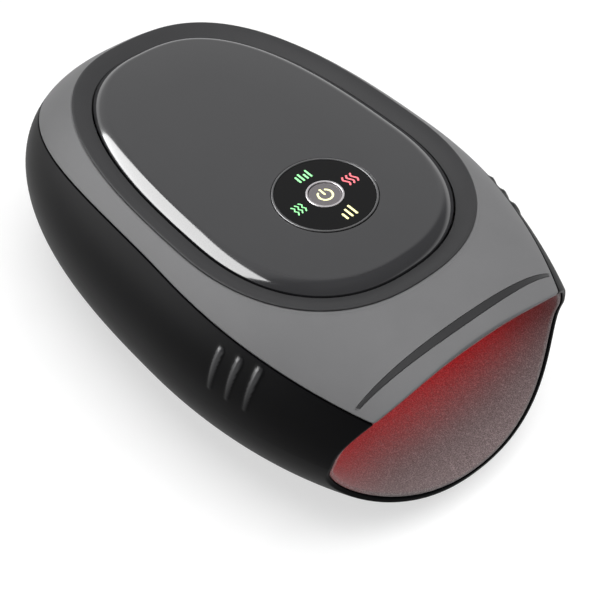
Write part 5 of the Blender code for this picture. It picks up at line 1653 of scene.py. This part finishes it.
def stroke(mesh: bmesh.types.BMesh, path: Sequence[Vector], width: float, height: float) -> None:
    """Sweep a low round-ended bead along a path in a level plane.

    Args:
        mesh: the mesh to add to.
        path: the bead's middle line.
        width: its full width.
        height: how far it stands above the path.
    """
    half = width / 2
    head = (path[0] - path[1]).normalized()
    tail = (path[-1] - path[-2]).normalized()
    cap = [math.sin(math.pi / 2 * step / 5) for step in range(1, 5)]
    reaches = [half * math.sqrt(1 - share * share) for share in cap]
    places = [path[0] + head * reach for reach in reaches] + list(path)
    places += [path[-1] + tail * reach for reach in reversed(reaches)]
    shares = cap + [1.0] * len(path) + cap[::-1]
    last = len(places) - 1
    rows = []
    for index, (place, share) in enumerate(zip(places, shares)):
        along = (places[min(index + 1, last)] - places[max(index - 1, 0)]).normalized()
        side = Vector((along.y, -along.x, 0.0))
        row = []
        for step in range(10):
            turn = math.tau * step / 10
            rise = Vector((0.0, 0.0, height * share * math.sin(turn)))
            row.append(place + side * half * share * math.cos(turn) + rise)
        rows.append(row)
    laid = loft(mesh, rows)
    pole(mesh, laid[0], path[0] + head * half)
    pole(mesh, laid[-1], path[-1] + tail * half)


def curved(points: Sequence[tuple[float, float]], steps: int = 6) -> list[tuple[float, float]]:
    """A smooth line through points, by Catmull and Rom's rule.

    Args:
        points: the points to pass.
        steps: parts between two points.

    Returns:
        The line's points.
    """
    ends = [points[0], *points, points[-1]]
    line = []
    for index in range(1, len(ends) - 2):
        a, b, c, d = (Vector(point) for point in ends[index - 1 : index + 3])
        for step in range(steps):
            t = step / steps
            bend, twist = a * 2 - b * 5 + c * 4 - d, b * 3 - a - c * 3 + d
            place = (b * 2 + (c - a) * t + bend * t**2 + twist * t**3) / 2
            line.append((place.x, place.y))
    return line + [tuple(points[-1])]


@dataclass
class Sign:
    """One lit sign of the panel, drawn upright about its own middle in millimetres."""

    name: str
    finish: Finish
    middle: tuple[float, float]
    strokes: Sequence[Sequence[tuple[float, float]]]
    width: float
    stand: float = 0.05 * MM

    def build(self, centre: Vector, body: str = "housing") -> bpy.types.Object:
        """Make the sign on the lens or on the button.

        Args:
            centre: the panel's middle, at the height of the sign's foot.
            body: the body that it rides on.

        Returns:
            The sign.
        """
        mesh = bmesh.new()
        middle = centre + Vector((self.middle[0] * MM, self.middle[1] * MM, 0.0))
        for line in self.strokes:
            path = [middle + Vector((x * MM, y * MM, 0.0)) for x, y in line]
            stroke(mesh, path, self.width * MM, self.stand)
        slot = Slot.TUB if body == "housing" else Slot.DARK
        return piece(self.name, mesh, self.finish, slot, body=body)


@dataclass
class Panel:
    """The round panel: trim ring, smoked lens with four lit signs, silver ring and the power button."""

    centre: Vector = field(default_factory=lambda: Vector((0.0, -0.031, 0.0)))
    radius: float = 19.45 * MM
    trim_width: float = 0.75 * MM
    top_z: float = 0.092
    recess: float = 1.3 * MM
    lens_stand: float = 0.1 * MM
    trim_stand: float = 0.3 * MM
    button_radius: float = 6.15 * MM
    ring_wall: float = 0.6 * MM
    button_dish: float = 0.3 * MM
    flange: float = 2.3 * MM
    flange_thickness: float = 0.9 * MM
    sign_reach: float = 12.2
    trim_round: float = 0.22 * MM
    lens_round: float = 0.15 * MM
    ring_round: float = 0.18 * MM
    cap_round: float = 1.5 * MM
    cap_edge: float = 0.6 * MM
    flange_round: float = 0.1 * MM

    def washer(self, outer: float, inner: float, low: float, high: float, soft: float) -> bmesh.types.BMesh:
        """A flat ring with rounded edges.

        Args:
            outer: its outer radius.
            inner: its inner radius.
            low: height of its foot.
            high: height of its top.
            soft: rounding of its edges.

        Returns:
            The ring's mesh.
        """
        middle = (outer + inner) / 2
        corners = [
            (middle, low, 0.0),
            (outer, low, soft),
            (outer, high, soft),
            (inner, high, soft),
            (inner, low, soft),
            (middle, low, 0.0),
        ]
        return spun(rounded(corners)[:-1], self.centre, 128, closed=True)

    def build(self) -> None:
        """Make the panel's pieces."""
        ledge = self.top_z - self.recess + GAP
        trim_inner = self.radius - self.trim_width
        ring_outer = self.button_radius + GAP + self.ring_wall
        high = self.top_z + self.trim_stand
        lens_top = self.top_z + self.lens_stand
        trim = self.washer(self.radius, trim_inner, ledge, high, self.trim_round)
        piece("panel_trim_ring", trim, TRIM_RING, Slot.TRIM, ["panel_trim"])
        lens = self.washer(trim_inner - GAP / 2, ring_outer + GAP / 2, ledge, lens_top, self.lens_round)
        piece("panel_smoked_lens", lens, LENS_GLOSS, Slot.TUB, ["panel_lens"])
        ring = self.washer(ring_outer, self.button_radius + GAP / 2, ledge - GAP, high, self.ring_round)
        piece("button_silver_ring", ring, BUTTON_RING, Slot.TRIM, ["button_ring"])
        self.build_button(ledge, lens_top)
        self.build_signs(lens_top)

    def build_button(self, ledge: float, top: float) -> None:
        """Make the power button and its sign, which move together.

        Args:
            ledge: height of the pad's ledge.
            top: height of the button's rim.
        """
        flange_top = ledge - GAP * 2
        edge = self.button_radius
        corners = [
            (0.0, top - self.button_dish, 0.0),
            (edge * 0.55, top - self.button_dish * 0.75, self.cap_round),
            (edge - self.cap_edge, top, self.cap_edge),
            (edge, top - self.button_dish, self.cap_edge / 2),
            (edge, flange_top, 0.0),
            (edge + self.flange, flange_top, self.flange_round),
            (edge + self.flange, flange_top - self.flange_thickness, self.flange_round),
            (0.0, flange_top - self.flange_thickness, 0.0),
        ]
        cap = spun(rounded(corners), self.centre, 96)
        piece("power_cap", cap, BUTTON_FACE, Slot.DARK, ["power_button"], "button", crease=40)
        opening = 38.0
        arc = [math.radians(90 + opening + (360 - opening * 2) * step / 48) for step in range(49)]
        loop = [(2.75 * math.cos(turn), 2.75 * math.sin(turn) - 0.2) for turn in arc]
        bar = [(0.0, 0.15), (0.0, 1.4), (0.0, 3.0)]
        sign = Sign("power_sign", SIGN_POWER, (0.0, 0.0), [loop, bar], 0.8)
        sign.build(self.centre + Vector((0.0, 0.0, top - self.button_dish * 0.7)), "button")

    def build_signs(self, top: float) -> None:
        """Make the four signs: mode, warmth, strength and vibration.

        Args:
            top: height of the lens.
        """
        where = self.centre + Vector((0.0, 0.0, top))
        reach = self.sign_reach
        mode = [
            [(-2.6, -1.7), (-2.6, 1.2)],
            [(-0.9, -1.7), (-0.9, 1.9)],
            [(0.9, -1.7), (0.9, 0.6)],
            [(2.6, -1.7), (2.6, 1.9)],
        ]
        Sign("mode_sign", SIGN_GREEN, (0.0, reach), mode, 0.82).build(where)
        wave = [(0.0, -2.3), (0.55, -1.2), (-0.05, 0.0), (-0.55, 1.2), (0.05, 2.3)]
        heat = [[(x + shift, y) for x, y in curved(wave)] for shift in (-1.9, 0.0, 1.9)]
        Sign("warmth_sign", SIGN_RED, (reach, 0.0), heat, 0.74).build(where)
        bars = [[(x, -2.5), (x, -2.5 + tall)] for x, tall in ((-2.2, 2.6), (0.0, 3.8), (2.2, 4.6))]
        Sign("strength_sign", SIGN_YELLOW, (0.0, -reach), bars, 0.9).build(where)
        zigzag = [(-0.3, -2.2), (0.4, -1.1), (-0.4, 0.0), (0.4, 1.1), (-0.3, 2.2)]
        buzz = [[(x + shift, y) for x, y in zigzag] for shift in (-1.7, 0.0, 1.7)]
        Sign("vibration_sign", SIGN_GREEN, (-reach, 0.0), buzz, 0.58).build(where)


# Soft pieces


@dataclass
class Lining:
    """The soft lining: from the rim back into the tunnel, closed round the fingertips."""

    wall: float = 1.6 * MM
    setback: float = 0.8 * MM
    sides: int = 144
    bulge: float = 0.35 * MM
    glow_front_y: float = -0.107
    glow_ramp: float = 44.0 * MM
    glow_left_lead: float = 8.0 * MM
    glow_left: tuple[float, float] = (0.02, 0.055)
    glow_right: tuple[float, float] = (0.04, 0.056)
    glow_roof: tuple[float, float] = (0.04, 0.065)
    glow_rear: tuple[float, float] = (-0.06, 0.03)
    glow_lost: tuple[float, float, float] = (0.6, 0.25, 0.35)
    waves: float = 190.0
    folds: int = 5
    fold_twist: float = 60.0
    wave_zone: tuple[float, float] = (-0.125, -0.1)
    neck_y: float = -0.08
    tail_margin: float = 10 * MM
    outer_sections: int = 48
    inner_sections: int = 120
    roll: tuple = ((0.15, 0.2), (0.5, 0.3), (0.85, 0.2))

    def front_y(self, angle: float) -> float:
        """Where the lining's front edge lies at an angle."""
        rim = MOUTH.section(angle, MOUTH.lip_rear_y, MOUTH.rim_wall)
        return BODY.nose_y(rim.x, rim.z) + self.setback

    def depths(self, front: float, inset: float, count: int) -> list[float]:
        """Depths of the sections from the front edge to near the tail.

        Args:
            front: the front edge.
            inset: how far the tail stands in.
            count: how many sections.

        Returns:
            The depths, from front to rear.
        """
        share = count // 4
        near = spaced(front, MOUTH.lip_rear_y, share)[:-1]
        neck = spaced(MOUTH.lip_rear_y, MOUTH.grip_front_y, share)[:-1]
        grip = spaced(MOUTH.grip_front_y, MOUTH.grip_rear_y, share)
        reach = MOUTH.tail_reach
        tail = [MOUTH.grip_rear_y + reach * math.sin(math.pi / 2 * step / share) for step in range(1, share)]
        return near + neck + grip + [depth - inset for depth in tail]

    def softness(self, place: Vector, angle: float) -> float:
        """How far the foam stands in at a place, as slow waves.

        Args:
            place: a point of the lining.
            angle: its turn about the tunnel.

        Returns:
            The depth of the wave in metres.
        """
        along = math.sin(place.y * self.waves + math.cos(angle * 2) * 2)
        around = math.sin(angle * self.folds + place.y * self.fold_twist)
        return self.bulge * (0.5 + 0.5 * along * around) * smoothstep(*self.wave_zone, place.y)

    def glow(self, place: Vector) -> float:
        """How strong the painted red glow of the warming light is at a place: most deep inside and along the
        left wall.

        Args:
            place: a point of the lining.

        Returns:
            The strength, from 0 to 1.
        """
        start = self.glow_front_y - self.glow_left_lead * smoothstep(*self.glow_left, -place.x)
        near = smoothstep(start, start + self.glow_ramp, place.y)
        at_rear, under_roof, at_right = self.glow_lost
        far = 1 - at_rear * smoothstep(*self.glow_rear, place.y)
        roof = 1 - under_roof + under_roof * smoothstep(*self.glow_roof, place.z)
        return near * far * roof * (1 - at_right * smoothstep(*self.glow_right, place.x))

    def row(self, index: int, count: int, inner: bool) -> list[Vector]:
        """One section of the lining's outer or inner face.

        Args:
            index: the section's number, from the front.
            count: how many sections there are.
            inner: whether it is the inner face.

        Returns:
            The section's points.
        """
        points = []
        for step in range(self.sides):
            angle = math.tau * step / self.sides
            front = self.front_y(angle)
            y = self.depths(front, 0.0, count)[index]
            place = MOUTH.section(angle, y, -GAP)
            if inner:
                middle = Vector((0.0, y, MOUTH.middle_z if y < self.neck_y else MOUTH.grip_z))
                ray = place - middle
                soft = self.softness(place, angle)
                place = middle + ray * max(1 - (self.wall + soft) / max(ray.length, 1e-6), 0.05)
                place.y = y - (self.wall if y > MOUTH.grip_rear_y + self.tail_margin else 0.0)
            points.append(place)
        return points

    def build(self) -> bpy.types.Object:
        """Make the lining.

        Returns:
            The lining.
        """
        mesh = bmesh.new()
        glow = mesh.verts.layers.float.new("glow")
        coarse, fine = self.outer_sections, self.inner_sections
        outer = [self.row(index, coarse, False) for index in range(coarse - 1, -1, -1)]
        inner = [self.row(index, fine, True) for index in range(fine)]
        lip = []
        for share, push in self.roll:
            shift = Vector((0.0, -self.wall * push, 0.0))
            lip.append([start.lerp(end, share) + shift for start, end in zip(outer[-1], inner[0])])
        laid = loft(mesh, outer + lip + inner)
        tail_y = MOUTH.grip_rear_y + MOUTH.tail_reach
        pole(mesh, laid[0], Vector((0.0, tail_y, MOUTH.grip_z)))
        pole(mesh, laid[-1], Vector((0.0, tail_y - self.wall, MOUTH.grip_z)))
        # The painted red glow's strength, stored on each vertex of the inner face.
        for row in laid[len(outer) :]:
            for vert in row:
                if vert.is_valid:
                    vert[glow] = self.glow(vert.co)
        made = piece("soft_lining", mesh, LINING, Slot.LINING, ["lining"])
        return made


@dataclass
class SoftLayer:
    """A bag or film that wraps the tunnel's roof or floor: a flat pillow in section, with pinched welds."""

    name: str
    stands_for: str
    finish: Finish
    slot: Slot
    side: Side
    sides: int
    low: float
    thickness: float
    front_y: float
    rear_y: float
    fill: float
    chambers: int = 0
    around: int = 48
    along: int = 80
    squareness: float = 4.0
    end_power: float = 12.0
    groove_share: float = 0.3
    pinch: float = 0.015

    def row(self, y: float, swelling: float, reach: float) -> list[Vector]:
        """One closed section of the layer at a depth.

        Args:
            y: the depth.
            swelling: share of the full thickness there.
            reach: share of the full width there.

        Returns:
            The section's points.
        """
        middle = math.pi / 2 * self.side.value
        half = math.tau / TUNNEL_SIDES * self.sides * reach
        power = self.squareness
        points = []
        for step in range(self.around):
            turn = math.tau * step / self.around
            across, up = math.cos(turn), math.sin(turn)
            round_off = (abs(across) ** power + abs(up) ** power) ** (-1 / power)
            offset = self.low + self.thickness * (0.5 + 0.5 * up * round_off * swelling)
            angle = middle + half * across * round_off
            x, z = MOUTH.grip.grown(offset).point(angle)
            points.append(Vector((x, y, MOUTH.grip_z + z)))
        return points

    def build(self) -> bpy.types.Object:
        """Make the layer.

        Returns:
            The layer.
        """
        mesh = bmesh.new()
        rows = []
        for share in spaced(0.0, 1.0, self.along):
            bound = 1 - abs(share * 2 - 1) ** self.end_power
            groove = abs(math.cos(math.pi * share * self.chambers)) if self.chambers else 1.0
            swelling = max(bound, 0.02) ** 0.5 * (1 - self.groove_share * (1 - groove**0.5))
            y = self.front_y + (self.rear_y - self.front_y) * share
            rows.append(self.row(y, swelling, 1 - self.pinch * (1 - max(bound, 0.0) ** 0.5)))
        laid = loft(mesh, rows)
        for row in (laid[0], laid[-1]):
            edges = {edge for vert in row for edge in vert.link_edges if edge.is_boundary}
            bmesh.ops.edgeloop_fill(mesh, edges=list(edges))
        made = piece(self.name, mesh, self.finish, self.slot, [self.stands_for], crease=50)
        return made


@dataclass
class ReturnSpring:
    """The release valve's return spring, which shortens as the plunger rises."""

    wire: float = 0.35 * MM
    turns: int = 5
    travel: float = 1.5 * MM

    def build(self) -> bpy.types.Object:
        """Wind the wire inside the solid's own box.

        Returns:
            The spring.
        """
        corners = [Vector(corner) for corner in frame["nodes"]["valve_spring"].bound_box]
        low, high = corners[0], corners[6]
        middle = (low + high) / 2
        radius = (high.x - low.x) / 2 - self.wire
        mesh = bmesh.new()
        start = Matrix.Translation((middle.x + radius, middle.y, low.z + self.wire))
        turned = start @ Matrix.Rotation(math.pi / 2, 4, "X")
        ring = bmesh.ops.create_circle(mesh, segments=12, radius=self.wire, matrix=turned)["verts"]
        edges = list({edge for vert in ring for edge in vert.link_edges})
        steps = self.turns * 24
        rise = (high.z - low.z - 2 * self.wire) / steps
        wound = bmesh.ops.spin(
            mesh,
            geom=ring + edges,
            cent=middle,
            axis=(0, 0, 1),
            dvec=(0, 0, rise),
            angle=math.tau * self.turns,
            steps=steps,
        )
        ends = [item for item in wound["geom_last"] if isinstance(item, bmesh.types.BMEdge)]
        bmesh.ops.edgeloop_fill(mesh, edges=edges)
        bmesh.ops.edgeloop_fill(mesh, edges=ends)
        made = piece("return_spring", mesh, ZINC_STEEL, Slot.SCREW, ["valve_spring"])
        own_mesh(made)
        return made


@dataclass
class Feet:
    """Four rubber feet with a soft edge."""

    radius: float = 6.0 * MM
    top_z: float = 2.9 * MM
    places: tuple = ((-0.02, -0.056), (0.02, -0.056), (-0.02, 0.026), (0.02, 0.026))

    def build(self) -> None:
        """Make the feet."""
        for number, (x, y) in enumerate(self.places, start=1):
            corners = [
                (0.0, 0.0, 0.0),
                (self.radius, 0.0, 0.6 * MM),
                (self.radius, self.top_z, 0.2 * MM),
                (0.0, self.top_z, 0.0),
            ]
            mesh = spun(rounded(corners, 5), Vector((x, y, 0.0)), 64)
            piece(f"rubber_foot_{number}", mesh, RUBBER, Slot.RUBBER, [f"foot_{number}"])


# The rest of the scene


def dress_inner_nodes() -> None:
    """Give every CAD node that stays its finish, by its material slot in the record."""
    slots = {row["node"]: Slot(row["material_slot"]) for row in frame["record"]["subparts"]}
    for name, node in frame["nodes"].items():
        if node.hide_render:
            continue
        finish = SLOT_FINISHES[slots[name]]
        for slot in node.material_slots:
            slot.material = finish.material()
        log.info("%s keeps its solid, in %s", name, finish.name)


@dataclass(frozen=True)
class SoftLamp:
    """A soft rectangular lamp that looks at the housing."""

    name: str
    way: tuple[float, float, float]
    distance: float
    size: tuple[float, float]
    power: float
    aim: tuple[float, float, float] = (0.0, -0.02, 0.05)

    def hang(self) -> bpy.types.Object:
        """Add the lamp to the scene.

        Returns:
            The lamp.
        """
        data = bpy.data.lights.new(self.name, "AREA")
        data.shape = "RECTANGLE"
        data.size, data.size_y = self.size
        data.energy = self.power
        lamp = bpy.data.objects.new(self.name, data)
        direction = Vector(self.way).normalized()
        lamp.location = Vector(self.aim) + direction * self.distance
        lamp.rotation_euler = (-direction).to_track_quat("-Z", "Y").to_euler()
        bpy.context.scene.collection.objects.link(lamp)
        return lamp


@dataclass
class Studio:
    """White floor, soft lamps and the camera of the photograph."""

    card: SoftLamp = SoftLamp("gloss_card_left", (-0.65, 0.55, 0.48), 1.1, (1.2, 1.1), 33.0)
    overhead: SoftLamp = SoftLamp("overhead_soft", (0.0, -0.2, 1.0), 1.6, (1.2, 1.2), 29.0)
    target: Vector = field(default_factory=lambda: Vector((0.0, -0.017115, 0.02383)))
    azimuth: float = math.radians(-40.554)
    elevation: float = math.radians(47.562)
    distance: float = 0.527155
    lens: float = 78.11
    ambient: float = 0.16
    room_front: float = 0.18
    room_rear: float = 0.62
    room_turn: float = 0.32
    white_below: float = 0.2
    room_above: float = 0.5
    floor_half: float = 6.0

    def build(self) -> None:
        """Set up the view, the surroundings and the lamps."""
        scene = bpy.context.scene
        scene.view_settings.view_transform = "Standard"
        self.build_camera(scene)
        self.build_world(scene)
        self.build_floor(scene)
        self.card.hang().visible_diffuse = False
        self.overhead.hang().visible_glossy = False

    def build_camera(self, scene: bpy.types.Scene) -> None:
        """Place the camera.

        Args:
            scene: the scene that looks through it.
        """
        flat = math.cos(self.elevation)
        across, along = math.sin(self.azimuth) * flat, -math.cos(self.azimuth) * flat
        back = Vector((across, along, math.sin(self.elevation)))
        data = bpy.data.cameras.new("photo_camera")
        data.lens = self.lens
        camera = bpy.data.objects.new("photo_camera", data)
        camera.location = self.target + back * self.distance
        camera.rotation_euler = (-back).to_track_quat("-Z", "Y").to_euler()
        scene.collection.objects.link(camera)
        scene.camera = camera

    def build_world(self, scene: bpy.types.Scene) -> None:
        """A room that is white at eye level, pale behind the housing and dim in front of it.

        Args:
            scene: the scene that it surrounds.
        """
        world = bpy.data.worlds.new("pale_room")
        world.use_nodes = True
        tree = world.node_tree
        tree.nodes.clear()
        way = add_node(tree, "ShaderNodeTexCoord").outputs["Generated"]
        axes = add_node(tree, "ShaderNodeSeparateXYZ", {"Vector": way}).outputs
        behind = add_node(
            tree,
            "ShaderNodeMapRange",
            {
                "Value": axes["Y"],
                "From Min": 0.0,
                "From Max": self.room_turn,
                "To Min": self.room_front,
                "To Max": self.room_rear,
            },
            interpolation_type="SMOOTHSTEP",
        ).outputs["Result"]
        level = add_node(
            tree,
            "ShaderNodeMapRange",
            {
                "Value": axes["Z"],
                "From Min": self.white_below,
                "From Max": self.room_above,
                "To Min": 1.0,
                "To Max": 0.0,
            },
            interpolation_type="SMOOTHSTEP",
        ).outputs["Result"]
        shown = add_node(tree, "ShaderNodeMath", {0: behind, 1: level}, operation="MAXIMUM").outputs[0]
        share = add_node(tree, "ShaderNodeMix", {0: seen_rays(tree), 2: self.ambient, 3: shown}).outputs[0]
        light = add_node(tree, "ShaderNodeBackground", {"Color": (1, 1, 1, 1), "Strength": share})
        add_node(tree, "ShaderNodeOutputWorld", {"Surface": light.outputs[0]})
        scene.world = world

    def build_floor(self, scene: bpy.types.Scene) -> None:
        """A wide white floor that keeps the shadow.

        Args:
            scene: the scene that it lies in.
        """
        mesh = bmesh.new()
        bmesh.ops.create_grid(mesh, x_segments=1, y_segments=1, size=self.floor_half)
        data = bpy.data.meshes.new("floor")
        mesh.to_mesh(data)
        mesh.free()
        floor = bpy.data.objects.new("floor", data)
        paper = LitPaper("lit_white_paper", "#b0b0b0", roughness=0.9, specular=0.1, grain_depth=0.0)
        floor.data.materials.append(paper.material())
        scene.collection.objects.link(floor)


def main() -> None:
    """Build every piece in order and report it."""
    logging.basicConfig(level=logging.INFO, format="%(message)s")
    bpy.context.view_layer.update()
    LowerShell().build()
    UpperShell().build()
    AccentStrip().build()
    BezelRing().build()
    TopPad().build()
    Panel().build()
    Lining().build()
    upper = SoftLayer(
        name="upper_air_cushion",
        stands_for="upper_air_bag",
        finish=BAG_FILM,
        slot=Slot.BAG,
        side=Side.ROOF,
        sides=5,
        low=GAP,
        thickness=5.8 * MM,
        front_y=-0.052,
        rear_y=0.044,
        fill=0.6,
        chambers=3,
    )
    film = replace(
        upper,
        name="warming_film",
        stands_for="heat_pad",
        finish=HEAT_FILM,
        slot=Slot.HEAT,
        side=Side.FLOOR,
        sides=4,
        thickness=0.8 * MM,
        front_y=-0.047,
        rear_y=0.039,
        fill=0.1,
        chambers=0,
    )
    lower = replace(
        upper,
        name="lower_air_cushion",
        stands_for="lower_air_bag",
        side=Side.FLOOR,
        low=film.low + film.thickness + GAP,
    )
    for layer in (upper, lower, film):
        layer.build()
    ReturnSpring().build()
    Feet().build()
    dress_inner_nodes()
    Studio().build()


if __name__ == "__main__":
    main()
